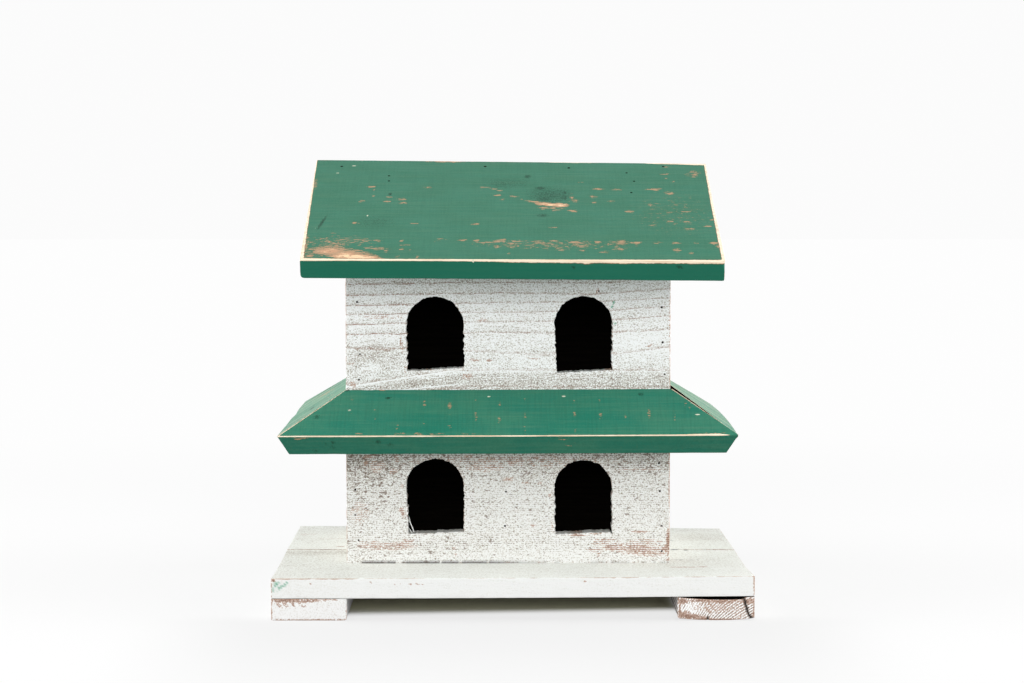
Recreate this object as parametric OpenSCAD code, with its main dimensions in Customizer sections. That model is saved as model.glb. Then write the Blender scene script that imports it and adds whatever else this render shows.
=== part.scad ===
// Purple martin birdhouse: two storeys of two nest rooms each, under a
// gable roof, with a mitred skirt roof between the storeys, on a wide base
// board with two runners.  Millimetres, +X to the right, +Y to the back,
// +Z up, with the origin on the ground under the middle of the roof.

/* [Body] */
// Outside width of the body, left to right
body_w = 305; // [240:1:400]
// Outside depth of the body at its left side
body_d = 205; // [160:1:300]
// How much shallower the body is at its right side, as its back is askew
back_skew = 14; // [0:0.5:24]
// Thickness of the walls, the dividers and the upper floor
wall_t = 19; // [12:0.5:24]
// Sideways place of the body on its base, where left is negative
body_shift = -4; // [-10:0.5:10]
// Height of the lower storey, from the base to the top of the upper floor
storey_h = 152.5; // [140:0.5:220]
// Height of the upper front wall, from the upper floor to the roof boards
upper_h = 161; // [140:0.5:220]

/* [Entrances] */
// Width of an arched entrance
hole_w = 53.5; // [40:0.5:70]
// Height of an entrance, from its sill to the top of its arch
hole_h = 68.5; // [60:0.5:90]
// Height of a sill above the floor of its room
sill_h = 29; // [15:0.5:45]
// Distance between the middles of the two entrances of a storey
hole_spacing = 139.5; // [110:0.5:160]
// Sideways place of the entrances on the body, where left is negative
hole_shift = 1.5; // [-8:0.5:8]

/* [Roof] */
// How far the roof stands out beyond the side walls
gable_out = 37; // [20:0.25:80]
// How far the eaves stand out beyond the front and back walls
eave_out = 105; // [40:1:130]
// Slope of the roof in degrees
roof_pitch = 23.4; // [12:0.1:38]
// Thickness of the roof boards
roof_t = 19; // [12:0.5:24]
// Sideways place of the roof on the body, where left is negative
roof_shift = 3; // [-10:0.5:10]

/* [Skirt roof] */
// How far the skirt roof stands out from the walls
skirt_out = 58.5; // [30:0.5:80]
// How far the skirt roof falls from the wall to its outer edge
skirt_drop = 37.5; // [15:0.5:60]
// Height of the skirt roof's top line above the upper floor
skirt_lap = 10.5; // [2:0.5:20]
// Thickness of the skirt boards
skirt_t = 19; // [12:0.5:24]

/* [Base] */
// How far the base stands out beyond the side walls
base_side = 66.75; // [40:0.25:100]
// Depth of the porch, from the front wall to the front edge of the base
porch_d = 94; // [60:1:130]
// How far the base stands out behind the back wall
base_back = 25; // [0:1:60]
// How far the right end of the base is off square, in degrees
end_slant = 0.85; // [0:0.05:2]
// Thickness of the two base boards
base_t = 18.5; // [12:0.5:24]
// Depth of the front one of the two base boards
front_board_d = 168; // [120:1:220]
// Gap between the two base boards
board_gap = 0.6; // [0.2:0.1:2]
// Width of a runner under the base
foot_w = 70; // [40:1:100]
// Thickness of a runner
foot_t = 20; // [12:0.5:40]

/* [Warp and wear] */
// How far the right skirt board has lifted at the wall's front corner
skirt_lift = 4.5; // [0:0.5:8]
// How far the right skirt board's front mitre stands open at the wall
mitre_open = 3; // [0:0.5:6]
// How far the right runner is cupped across its width
foot_cup = 1.8; // [0.4:0.1:4]
// Width of the split in the front end of the right runner
split_w = 1.2; // [0.4:0.1:3]
// Length of the split, back from the front end
split_l = 60; // [10:1:120]
// Distance of the split from the runner's outer side, at its top
split_top = 10.5; // [4:0.5:20]
// Distance of the split from the runner's outer side, at its bottom
split_bottom = 4; // [2:0.5:20]

/* [Hidden] */

white = [0.92, 0.92, 0.90];
green = [0.18, 0.45, 0.36];
bare = [0.72, 0.58, 0.40];

// Levels, from the ground up
base_z = foot_t;
floor_z = base_z + base_t;
upper_floor_z = floor_z + storey_h;
skirt_top_z = upper_floor_z + skirt_lap;

// Angle of the back wall to the front wall
skew = atan(back_skew / body_w);

// Places and sizes in plan.  The front wall stands where it does so that the
// origin comes under the middle of the roof.
base_w = body_w + 2 * base_side;
roof_w = body_w + 2 * gable_out;
left_x = body_shift - body_w / 2;
right_x = body_shift + body_w / 2;
roof_left_x = body_shift + roof_shift - roof_w / 2;
front_y = -(body_d + eave_out * (1 / cos(skew) - 1)
            + (left_x - roof_left_x) * tan(skew)) / 2;
back_left_y = front_y + body_d;
back_right_y = back_left_y - back_skew;
base_front_y = front_y - porch_d;
inner_left_x = left_x + wall_t;
inner_right_x = right_x - wall_t;
inner_front_y = front_y + wall_t;

// How much the cutting shapes run past what they cut
over = 1;
far = body_w + body_d;

// Height of a roof slope's underside, at a distance in from its wall's face
function slope_z(y) = upper_floor_z + upper_h + y * tan(roof_pitch);

// Upright height of the roof boards' thickness
roof_rise = roof_t / cos(roof_pitch);

// Places along the back, which runs forward towards the right
function back_y(x) = back_left_y - (x - left_x) * tan(skew);
function inner_back_y(x) = back_y(x) - wall_t / cos(skew);
function base_back_y(x) = back_y(x) + base_back / cos(skew);

// Place of the ridge, which is as far from the front wall as from the back
function ridge_y(x) =
  (front_y + back_left_y * cos(skew) - (x - left_x) * sin(skew))
  / (1 + cos(skew));

// Each wall has a frame of its own, where the wall's outer face is at y = 0,
// the outside is towards -Y, and +X runs to the right as seen from outside
module at_front() {
  translate([left_x, front_y, 0]) children();
}

module at_right() {
  translate([right_x, front_y, 0]) rotate([0, 0, 90]) children();
}

module at_back() {
  translate([right_x, back_right_y, 0])
    rotate([0, 0, 180 - skew])
      children();
}

module at_left() {
  translate([left_x, back_left_y, 0]) rotate([0, 0, -90]) children();
}

// A side view, drawn as [y, z], made into a solid of this length along X
module along_x(from_x, length) {
  translate([from_x, 0, 0])
    rotate([90, 0, 90])
      linear_extrude(length)
        children();
}

// A plan, as [x, y] points, made into a solid between two levels
module standing(plan, from_z, to_z) {
  translate([0, 0, from_z])
    linear_extrude(to_z - from_z)
      polygon(plan);
}

// ---- Base ----

// Everything in front of the base's back edge
module before_back_edge() {
  standing([
    [-far, base_front_y - over],
    [far, base_front_y - over],
    [far, base_back_y(far)],
    [-far, base_back_y(-far)],
  ], -over, floor_z + over);
}

module foot_left() {
  color(white)
    intersection() {
      translate([-base_w / 2, base_front_y, 0]) cube([foot_w, far, foot_t]);
      before_back_edge();
    }
}

// The front view of a runner that has cupped: its top is hollow, so that only
// its edges carry the base, and its underside is round and meets the ground
// along the middle
module cupped_profile() {
  half_w = foot_w / 2;
  cup_r = (half_w * half_w + foot_cup * foot_cup) / (2 * foot_cup);
  difference() {
    intersection() {
      translate([-half_w, 0]) square([foot_w, foot_t]);
      translate([0, cup_r]) circle(r = cup_r, $fn = 360);
    }
    translate([0, foot_t - foot_cup + cup_r]) circle(r = cup_r, $fn = 360);
  }
}

// The front view of the split, which leans outwards as it goes down
module split_profile() {
  top_x = foot_w / 2 - split_top;
  bottom_x = foot_w / 2 - split_bottom;
  lean = (bottom_x - top_x) / foot_t * over;
  polygon([
    [top_x - lean - split_w / 2, foot_t + over],
    [top_x - lean + split_w / 2, foot_t + over],
    [bottom_x + lean + split_w / 2, -over],
    [bottom_x + lean - split_w / 2, -over],
  ]);
}

module foot_right() {
  color(white)
    intersection() {
      translate([base_w / 2 - foot_w / 2, base_front_y, 0])
        rotate([90, 0, 0])
          difference() {
            translate([0, 0, -far]) linear_extrude(far) cupped_profile();
            translate([0, 0, -split_l]) linear_extrude(split_l + over) split_profile();
          }
      before_back_edge();
    }
}

// A base board between two places along Y, with its right end off square
function base_end_x(y) = base_w / 2 - (y - base_front_y) * tan(end_slant);

function base_plan(from_y, to_y) = [
  [-base_w / 2, from_y],
  [base_end_x(from_y), from_y],
  [base_end_x(to_y), to_y],
  [-base_w / 2, to_y],
];

module base_board_front() {
  color(white)
    standing(base_plan(base_front_y, base_front_y + front_board_d), base_z, floor_z);
}

module base_board_back() {
  from_y = base_front_y + front_board_d + board_gap;
  color(white)
    intersection() {
      standing(base_plan(from_y, from_y + far), base_z, floor_z);
      before_back_edge();
    }
}

// ---- Walls ----

// One arched entrance, standing on the origin and running along Y
module entrance() {
  spring_h = hole_h - hole_w / 2;
  translate([-hole_w / 2, -over, 0])
    cube([hole_w, wall_t + 2 * over, spring_h]);
  translate([0, -over, spring_h])
    rotate([-90, 0, 0])
      cylinder(h = wall_t + 2 * over, d = hole_w, $fn = 96);
}

// The pair of entrances of the storey whose floor is at this height
module entrances(storey_z) {
  for (side = [-1, 1])
    translate([
      body_shift + hole_shift + side * hole_spacing / 2,
      front_y,
      storey_z + sill_h,
    ])
      entrance();
}

// Everything under the two slopes of the roof
module under_slope() {
  along_x(-far, 3 * far)
    polygon([
      [-over, 0],
      [far, 0],
      [far, slope_z(far)],
      [-over, slope_z(-over)],
    ]);
}

module under_roof() {
  intersection() {
    at_front() under_slope();
    at_back() under_slope();
  }
}

// A board that stands on the upper floor's level, with its top cut to the roof
module roofed(plan) {
  intersection() {
    standing(plan, upper_floor_z, upper_floor_z + 2 * upper_h);
    under_roof();
  }
}

// The plans of the walls that are as wide as the body
front_plan = [
  [left_x, front_y],
  [right_x, front_y],
  [right_x, inner_front_y],
  [left_x, inner_front_y],
];
back_plan = [
  [left_x, inner_back_y(left_x)],
  [right_x, inner_back_y(right_x)],
  [right_x, back_y(right_x)],
  [left_x, back_y(left_x)],
];

// The plan of a board or floor between the front and back walls
function cross_plan(from_x, to_x) = [
  [from_x, inner_front_y],
  [to_x, inner_front_y],
  [to_x, inner_back_y(to_x)],
  [from_x, inner_back_y(from_x)],
];
left_plan = cross_plan(left_x, inner_left_x);
right_plan = cross_plan(inner_right_x, right_x);
divider_plan = cross_plan(body_shift - wall_t / 2, body_shift + wall_t / 2);
floor_plan = cross_plan(inner_left_x, inner_right_x);

module front_wall_lower() {
  color(white)
    difference() {
      standing(front_plan, floor_z, upper_floor_z);
      entrances(floor_z);
    }
}

module front_wall_upper() {
  color(white)
    difference() {
      roofed(front_plan);
      entrances(upper_floor_z);
    }
}

module back_wall_lower() {
  color(white) standing(back_plan, floor_z, upper_floor_z);
}

module back_wall_upper() {
  color(white) roofed(back_plan);
}

module side_wall_left_lower() {
  color(white) standing(left_plan, floor_z, upper_floor_z);
}

module side_wall_left_upper() {
  color(white) roofed(left_plan);
}

module side_wall_right_lower() {
  color(white) standing(right_plan, floor_z, upper_floor_z);
}

module side_wall_right_upper() {
  color(white) roofed(right_plan);
}

// ---- Inside ----

module upper_floor() {
  color(bare) standing(floor_plan, upper_floor_z - wall_t, upper_floor_z);
}

module divider_lower() {
  color(bare) standing(divider_plan, floor_z, upper_floor_z - wall_t);
}

module divider_upper() {
  color(bare) roofed(divider_plan);
}

// ---- Skirt roof ----

// Side view of a skirt board, as [y, z] from its top line at the wall round
// to its bottom line there.  A lift raises the wall side and steepens it.
function skirt_profile(lift) =
  let (
    wall_z = skirt_top_z + lift,
    outer_z = skirt_top_z - skirt_drop,
    pitch = atan((skirt_drop + lift) / skirt_out)
  )
  [
    [0, wall_z],
    [-skirt_out, outer_z],
    [-skirt_out + skirt_t * sin(pitch), outer_z - skirt_t * cos(pitch)],
    [0, wall_z - skirt_t / cos(pitch)],
  ];

// A skirt board against a wall of this length, drawn in the wall's frame.
// Its outer edge is square to its slope, its inner edge is upright against
// the wall, and its ends are mitred in plan at these angles, which makes them
// compound mitres on the sloping board.
module skirt_board(length, left_mitre, right_mitre) {
  intersection() {
    along_x(-far, length + 2 * far)
      polygon(skirt_profile(0));
    standing([
      [0, 0],
      [-skirt_out * tan(left_mitre), -skirt_out],
      [length + skirt_out * tan(right_mitre), -skirt_out],
      [length, 0],
    ], 0, skirt_top_z + over);
  }
}

// Mitre angles at the two back corners of the body, which are not square
right_back_mitre = 45 - skew / 2;
left_back_mitre = 45 + skew / 2;

// The corners of a board's left end, on a square corner's mitre that stands
// open by this much at the wall and closes towards the outer edge
function left_end(lift, open) = [
  for (corner = skirt_profile(lift))
    let (out = -corner[0])
      [-out + open * (1 - out / skirt_out), corner[0], corner[1]],
];

// The corners of a board's right end, on a closed mitre
function right_end(length, mitre) = [
  for (corner = skirt_profile(0))
    [length - corner[0] * tan(mitre), corner[0], corner[1]],
];

// A skirt board that has twisted: its left end is lifted, and the lift dies
// away along the board.  Rings of four corners run from end to end.
module twisted_skirt_board(length, lift, open, right_mitre) {
  rings = 8;
  from = left_end(lift, open);
  to = right_end(length, right_mitre);
  corners = [
    for (ring = [0:rings], corner = [0:3])
      from[corner] + (to[corner] - from[corner]) * ring / rings,
  ];
  sides = [
    for (ring = [0:rings - 1], corner = [0:3])
      let (
        a = 4 * ring + corner,
        b = 4 * ring + (corner + 1) % 4
      )
        each [[a, a + 4, b + 4], [a, b + 4, b]],
  ];
  last = 4 * rings;
  ends = [[0, 1, 2, 3], [last + 3, last + 2, last + 1, last]];
  polyhedron(points = corners, faces = concat(sides, ends));
}

module skirt_front() {
  color(green) at_front() skirt_board(body_w, 45, 45);
}

module skirt_back() {
  color(green)
    at_back()
      skirt_board(body_w / cos(skew), right_back_mitre, left_back_mitre);
}

module skirt_left() {
  color(green) at_left() skirt_board(body_d, left_back_mitre, 45);
}

module skirt_right() {
  color(green)
    at_right()
      twisted_skirt_board(body_d - back_skew, skirt_lift, mitre_open, right_back_mitre);
}

// ---- Roof ----

// A roof slope in the frame of its wall.  Its eave edge is square to the
// slope.  It runs on past the ridge and past both ends.
module slope() {
  eave_z = slope_z(-eave_out) + roof_rise;
  along_x(-far, 3 * far)
    polygon([
      [-eave_out, eave_z],
      [
        -eave_out + roof_t * sin(roof_pitch),
        eave_z - roof_t * cos(roof_pitch),
      ],
      [far, slope_z(far)],
      [far, slope_z(far) + roof_rise],
    ]);
}

// The plan of one slope, from the ridge to well past the eave at this place,
// which is cut upright at the ridge to meet the other slope
function slope_plan(eave_y) = [
  [roof_left_x, ridge_y(roof_left_x)],
  [roof_left_x + roof_w, ridge_y(roof_left_x + roof_w)],
  [roof_left_x + roof_w, eave_y],
  [roof_left_x, eave_y],
];

module roof_slab_front() {
  color(green)
    intersection() {
      at_front() slope();
      standing(slope_plan(-far), 0, slope_z(far));
    }
}

module roof_slab_back() {
  color(green)
    intersection() {
      at_back() slope();
      standing(slope_plan(far), 0, slope_z(far));
    }
}

foot_left();
foot_right();
base_board_front();
base_board_back();
front_wall_lower();
front_wall_upper();
back_wall_lower();
back_wall_upper();
side_wall_left_lower();
side_wall_left_upper();
side_wall_right_lower();
side_wall_right_upper();
upper_floor();
divider_lower();
divider_upper();
skirt_front();
skirt_back();
skirt_left();
skirt_right();
roof_slab_front();
roof_slab_back();
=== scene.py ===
import math

import bpy
import numpy as np
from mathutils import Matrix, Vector


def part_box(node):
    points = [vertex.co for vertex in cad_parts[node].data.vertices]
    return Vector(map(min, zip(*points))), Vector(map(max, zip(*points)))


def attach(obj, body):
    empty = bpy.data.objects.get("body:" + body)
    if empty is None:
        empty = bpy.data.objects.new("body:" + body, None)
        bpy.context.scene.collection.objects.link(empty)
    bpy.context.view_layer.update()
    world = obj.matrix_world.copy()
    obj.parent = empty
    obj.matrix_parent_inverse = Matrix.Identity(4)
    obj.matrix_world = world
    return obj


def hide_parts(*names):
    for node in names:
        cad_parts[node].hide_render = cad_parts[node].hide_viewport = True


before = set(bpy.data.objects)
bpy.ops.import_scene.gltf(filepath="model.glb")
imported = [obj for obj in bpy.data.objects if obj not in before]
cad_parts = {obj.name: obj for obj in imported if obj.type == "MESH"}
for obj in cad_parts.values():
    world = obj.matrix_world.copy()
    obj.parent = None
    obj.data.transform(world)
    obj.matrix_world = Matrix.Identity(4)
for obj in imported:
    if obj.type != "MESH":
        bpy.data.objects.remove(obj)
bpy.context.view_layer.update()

# Each board is a fine grid laid round its CAD node, worn and bent a little
# inwards. Its marks are kept as attributes, which its material reads. All is
# drawn in millimetres in the row frame, and turned into metres where a mesh is
# made; the floor, the light and the camera are in metres.
MM = 0.001
X, Y, Z = np.eye(3)


# ---- Noise, the same on every run ----

def lattice(cell, seed):
    """A number from 0 to 1 for each whole-numbered cell."""
    h = (cell[:, 0] * 73856093) ^ (cell[:, 1] * 19349663) ^ (cell[:, 2] * 83492791)
    h = (h + seed * 374761393) & 0xFFFFFFFF
    h = ((h ^ (h >> 15)) * 2246822519) & 0xFFFFFFFF
    h = ((h ^ (h >> 13)) * 3266489917) & 0xFFFFFFFF
    return ((h ^ (h >> 16)) & 0xFFFFFF) / float(0xFFFFFF)


def noise(points, seed):
    """Smooth noise from -1 to 1, one cell per unit."""
    base = np.floor(points).astype(np.int64)
    f = points - base
    f = f * f * (3 - 2 * f)
    total = np.zeros(len(points))
    for corner in np.ndindex(2, 2, 2):
        weight = np.prod(np.where(corner, f, 1 - f), axis=1)
        total += weight * lattice(base + np.array(corner), seed)
    return total * 2 - 1


def rough(points, seed):
    """Noise on two scales, from about -1 to 1."""
    return (noise(points, seed) + noise(points / 0.5, seed + 1) * 0.5) / 1.5


def smooth(x, low, high):
    """A smooth step from 0 to 1 as x goes from low to high."""
    t = np.clip((x - low) / (high - low), 0, 1)
    return t * t * (3 - 2 * t)


# ---- Reading the CAD and making objects ----

def unit(v):
    return np.array(v, float) / np.linalg.norm(v)


def read(items, name):
    """A vector of each vertex or face of a mesh, as the rows of an array."""
    values = np.empty(len(items) * 3)
    items.foreach_get(name, values)
    return values.reshape(-1, 3)


def level(node, axis, end):
    """Where a CAD node begins (end 0) or stops (end 1) along an axis, in mm."""
    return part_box(node)[end][axis] / MM


def cad_points(node):
    """The corners of a CAD node, in mm."""
    return read(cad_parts[node].data.vertices, "co") / MM


def cad_edges(node):
    """The sharp edges of a CAD node as two arrays of end points, in mm."""
    keys = [tuple(p) for p in np.round(cad_points(node), 2)]
    normals_at = {}
    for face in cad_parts[node].data.polygons:
        ring = list(face.vertices)
        for a, b in zip(ring, ring[1:] + ring[:1]):
            ends = tuple(sorted((keys[a], keys[b])))
            normals_at.setdefault(ends, []).append(np.array(face.normal))
    ends = np.array([ends for ends, normals in normals_at.items()
                     if len(normals) < 2 or normals[0] @ normals[1] < FLAT])
    return ends[:, 0], ends[:, 1]


def add_object(name, data):
    obj = bpy.data.objects.new(name, data)
    bpy.context.scene.collection.objects.link(obj)
    return obj


def add_mesh(name, points, faces, material=None):
    """An object from points in mm and faces."""
    mesh = bpy.data.meshes.new(name)
    mesh.from_pydata((np.array(points) * MM).tolist(), [], faces)
    if material:
        mesh.materials.append(material)
    return add_object(name, mesh)


def stand_for(obj, node):
    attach(obj, "root")
    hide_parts(node)


def attribute(mesh, name, values):
    kind, part = ("FLOAT_VECTOR", "vector") if values.ndim == 2 else ("FLOAT", "value")
    layer = mesh.attributes.new(name, kind, "POINT")
    layer.data.foreach_set(part, np.ascontiguousarray(values, np.float32).ravel())


def apply_modifiers(obj):
    bpy.context.view_layer.update()
    graph = bpy.context.evaluated_depsgraph_get()
    mesh = bpy.data.meshes.new_from_object(obj.evaluated_get(graph))
    obj.modifiers.clear()
    obj.data = mesh


def tube_faces(rings, sides, start=0):
    """The faces round a tube whose rings of points follow each other."""
    return [(a + i, a + (i + 1) % sides, a + sides + (i + 1) % sides, a + sides + i)
            for a in range(start, start + (rings - 1) * sides, sides) for i in range(sides)]


def turns(sides):
    """The cosine and sine of equal steps round a circle."""
    return [(math.cos(2 * math.pi * i / sides), math.sin(2 * math.pi * i / sides))
            for i in range(sides)]


def studs(node, places, face, radius, material, sides=12):
    """Nail heads, flush with a board, as one piece."""
    face = unit(face)
    across = unit(np.cross(face, Z if abs(face[2]) < 0.9 else X))
    up = np.cross(face, across)
    points, faces = [], []
    for k, place in enumerate(places):
        size = radius * (0.85 + 0.3 * float(lattice(np.array([[k, 3, 5]]), 17)[0]))
        start = len(points)
        for depth, r in ((1.2, size), (0.12, size), (0.0, size * 0.7)):
            points += [np.array(place) + (across * c * r + up * s * r) - face * depth
                       for c, s in turns(sides)]
        faces += tube_faces(3, sides, start)
        faces.append(tuple(range(start + 2 * sides, start + 3 * sides)))
        faces.append(tuple(reversed(range(start, start + sides))))
    stand_for(add_mesh(node + "_nails", points, faces, material), node)


def sliver(name, node, path, radius, material, sides=6):
    """A thin pointed strip of wood along a path."""
    points = [np.array(place) + r * np.array([c, s, 0])
              for place, r in zip(path, [radius * 0.35] + [radius] * (len(path) - 1))
              for c, s in turns(sides)]
    faces = tube_faces(len(path), sides)
    faces.append(tuple(range(sides)))
    faces.append(tuple(reversed(range(len(points) - sides, len(points)))))
    obj = add_mesh(name, points, faces, material)
    attribute(obj.data, "worn", np.full(len(points), 50.0))
    attribute(obj.data, "dense", np.full(len(points), -2.0))
    stand_for(obj, node)


# ---- Boards ----

# where the grid lines round an edge lie, as parts of its radius, and how far
# behind it the even ones start
ROUND, CLEAR = (0, 0.423, 0.732, 1.0), 1.5
END_WEIGHT = 0.6
# edges whose faces turn by less than this, as a cosine, are not sharp
FLAT = 0.8
# cells of noise along, across and through a board: long waves, grain, chips
WAVES, FIBRES, CHIPS = (60.0, 14.0, 14.0), (45.0, 2.2, 2.2), (9.0, 4.0, 4.0)
# a distance that is far from every edge
FAR = 60.0


def distance_to(points, starts, ends, weights):
    """How far each point is from the nearest of the edges, in mm, each edge
    by its own weight, which may differ from point to point."""
    nearest = np.full(len(points), FAR)
    for a, b, weight in zip(starts, ends, weights):
        along = b - a
        t = np.clip((points - a) @ along / max(along @ along, 1e-9), 0, 1)
        gap = np.linalg.norm(points - a - t[:, None] * along, axis=1)
        nearest = np.minimum(nearest, gap * weight)
    return nearest


def pick_corners(node, grain, width, face):
    """The eight corners of a board, by end, side and face. The ends weigh
    less, so that a slanting end does not cost a corner its side."""
    points = cad_points(node)
    corners = np.empty((2, 2, 2, 3))
    for i, j, k in np.ndindex(2, 2, 2):
        score = (END_WEIGHT * (2 * i - 1) * points @ grain
                 + (2 * j - 1) * points @ width
                 + (2 * k - 1) * points @ face)
        corners[i, j, k] = points[np.argmax(score)]
    return corners


def grid_lines(length, step, radius, extra=()):
    """Places of grid lines along a side: close at the rounded ends."""
    inner = radius + CLEAR
    count = max(1, round((length - 2 * inner) / step))
    ends = [radius * s for s in ROUND]
    middle = np.linspace(inner, length - inner, count + 1)
    return np.array(sorted({*ends, *middle, *(length - s for s in ends), *extra}))


def shell(lines):
    """The surface of a box as a grid: points and quads."""
    counts = [len(l) for l in lines]
    index = {}
    quads = []
    for axis in range(3):
        a, b = (axis + 1) % 3, (axis + 2) % 3
        for end in (0, 1):
            for i, j in np.ndindex(counts[a] - 1, counts[b] - 1):
                ring = []
                for di, dj in ((0, 0), (1, 0), (1, 1), (0, 1)):
                    cell = [0, 0, 0]
                    cell[axis], cell[a], cell[b] = end * (counts[axis] - 1), i + di, j + dj
                    ring.append(index.setdefault(tuple(cell), len(index)))
                quads.append(ring if end else ring[::-1])
    points = [[line[i] for line, i in zip(lines, cell)] for cell in index]
    return np.array(points), np.array(quads)


def trilinear(corners, t):
    """Places in the box between eight corners, at t from 0 to 1 each way."""
    out = np.zeros((len(t), 3))
    for c in np.ndindex(2, 2, 2):
        weight = np.prod(np.where(c, t, 1 - t), axis=1)
        out += weight[:, None] * corners[c]
    return out


class Places:
    """Points of a board: x, y and z in the row frame, how far each lies
    outside the board's face and, on a sloping one, up from its lower edge."""

    def __init__(self, points, local):
        self.points = points
        self.x, self.y, self.z = points.T
        self.out = local[:, 2]
        self.up = local[:, 1].max() - local[:, 1]


class Board:
    """A board built round a CAD node, with rounded edges and a worn surface.
    Its axes are the way of its grain, across it, and out of its face."""

    def __init__(self, node, axes, seed, step=3, radius=0.9, thick_step=4, cup=0.0,
                 rounded=(), wear=(0.15, 0.10, 0.5)):
        self.node, self.seed = node, seed
        self.grain, self.width, self.face = (unit(v) for v in axes)
        corners = pick_corners(node, self.grain, self.width, self.face)
        self.origin = corners[0, 0, 1]
        size = self.size = np.array([
            np.linalg.norm(corners[1] - corners[0], axis=-1).mean(),
            np.linalg.norm(corners[:, 1] - corners[:, 0], axis=-1).mean(),
            np.linalg.norm(corners[:, :, 1] - corners[:, :, 0], axis=-1).mean()])
        # the top of a gable wall rises to a peak between its corners
        top = cad_points(node)
        peak = top[np.argmax(top[:, 2])]
        start, end = corners[:, 1, 1]
        along = np.clip((peak - start) @ self.grain / size[0], 0, 1)
        rise = peak[2] - (start * (1 - along) + end * along)[2]
        gable = rise > 1 and abs(self.width[2]) > 0.9 and 0.1 < along < 0.9
        step = step if isinstance(step, tuple) else (step, step)
        p, self.quads = shell([
            grid_lines(size[0], step[0], radius, [along * size[0]] if gable else ()),
            grid_lines(size[1], step[1], radius), grid_lines(size[2], thick_step, radius)])
        if np.cross(self.grain, self.width) @ self.face < 0:
            self.quads = self.quads[:, ::-1]
        q = np.clip(p, radius, size - radius)
        length = np.linalg.norm(p - q, axis=1, keepdims=True)
        p = np.where(length > 1e-6, q + radius * (p - q) / np.maximum(length, 1e-6), p)
        # arrises worn to a wider round: axis and end, twice, and a radius
        for a, a_end, b, b_end, r in rounded:
            sides = ((a, a_end), (b, b_end))
            near = np.stack([size[k] - p[:, k] if end else p[:, k] for k, end in sides], axis=1)
            far = np.linalg.norm(r - near, axis=1)
            hit = (near < r).all(axis=1) & (far > r)
            new = r - (r - near) * (r / np.maximum(far, 1e-6))[:, None]
            for column, (k, end) in enumerate(sides):
                value = size[k] - new[:, column] if end else new[:, column]
                p[:, k] = np.where(hit, value, p[:, k])
        t = p / size
        self.points, self.local = trilinear(corners, t), p
        if gable:
            ramp = np.where(t[:, 0] < along, t[:, 0] / along, (1 - t[:, 0]) / (1 - along))
            self.points[:, 2] += rise * ramp * t[:, 1]
        self.points[:, 2] -= cup * (1 - (2 * t[:, 1] - 1) ** 2)
        self.bent = np.zeros_like(p)
        self.cutters = []
        self.wear(*wear)

    def wear(self, warp, ripple, chips):
        """Moves the surface inwards: long waves, grain and worn edges."""
        local, size = self.local, self.size
        near = np.minimum(local, size - local)
        rows, which = np.arange(len(local)), np.argmin(near, axis=1)
        normal = np.zeros_like(local)
        normal[rows, which] = np.where(local[rows, which] < size[which] / 2, 1, -1)
        depth = warp * (0.5 + 0.5 * rough(local / WAVES, self.seed))
        depth += ripple * (0.5 + 0.5 * noise(local / FIBRES, self.seed + 7))
        bite = np.clip(noise(local / CHIPS, self.seed + 11), 0, 1)
        depth += chips * bite * (1 - smooth(np.sort(near, axis=1)[:, 1], 0.5, 3.0))
        shift = normal * depth[:, None]
        self.points += (shift[:, :1] * self.grain + shift[:, 1:2] * self.width
                        + shift[:, 2:] * self.face)

    def parts(self):
        """Each point's place along the grain, across it, and from the back of
        the board to its face, from 0 to 1."""
        return (self.local / self.size).T

    def bend(self, axis, amount):
        """Moves the board along an axis, by an amount for each point; the wear
        on its edges goes with it."""
        self.points[:, axis] += amount
        self.bent[:, axis] += amount

    def dent(self, place, reach, depth, direction):
        """Pushes the surface in round a place."""
        gap = np.linalg.norm(self.points - place, axis=1)
        self.points += np.exp(-(gap / reach) ** 2)[:, None] * depth * unit(direction)

    def build(self, materials, pick=None, edge_weight=None, marks=None):
        """Makes the piece. The marks are functions of its places, kept as
        attributes for its materials; pick gives a face its material."""
        obj = add_mesh(self.node + "_wood", self.points, self.quads.tolist())
        for cutter in self.cutters:
            cut = obj.modifiers.new("cut", "BOOLEAN")
            cut.operation, cut.solver, cut.object = "DIFFERENCE", "EXACT", cutter
        if self.cutters:
            apply_modifiers(obj)
            for cutter in self.cutters:
                bpy.data.objects.remove(cutter)
        mesh = obj.data
        co = read(mesh.vertices, "co") / MM
        drawn = co - self.bent if len(co) == len(self.bent) else co
        rel = drawn - self.origin
        local = np.stack([rel @ self.grain, rel @ self.width, rel @ self.face], axis=1)
        starts, ends = cad_edges(self.node)
        weights = np.ones(len(starts))
        if edge_weight:
            at = Places(drawn, local)
            weights = [edge_weight((a + b) / 2, at) for a, b in zip(starts, ends)]
        attribute(mesh, "grain", local + np.array([self.seed * 531.0, self.seed * 77.0, 0]))
        attribute(mesh, "worn", distance_to(drawn, starts, ends, weights))
        at = Places(co, local)
        for name, mark in (marks or {}).items():
            attribute(mesh, name, mark(at))
        for material in materials:
            mesh.materials.append(material)
        if pick:
            chosen = pick(read(mesh.polygons, "normal"))
            mesh.polygons.foreach_set("material_index", chosen.astype(np.int32))
        mesh.shade_smooth()
        mesh.set_sharp_from_angle(angle=math.radians(40))
        mesh.update()
        stand_for(obj, self.node)


def blots(rows, x, y):
    """How strongly each place lies in the strongest of some marks. A row is
    x, y, half length, half height, strength and the turn in degrees, if any;
    its outline is where the value is half the strength."""
    total = np.zeros(len(x))
    for cx, cy, a, b, strength, *turn in rows:
        turn = math.radians(sum(turn))
        c, s = math.cos(turn), math.sin(turn)
        dx, dy = x - cx, y - cy
        r = ((dx * c + dy * s) / a) ** 2 + ((dy * c - dx * s) / b) ** 2
        total = np.maximum(total, strength * np.clip(1 - r / 2, 0, 1))
    return total


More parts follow.
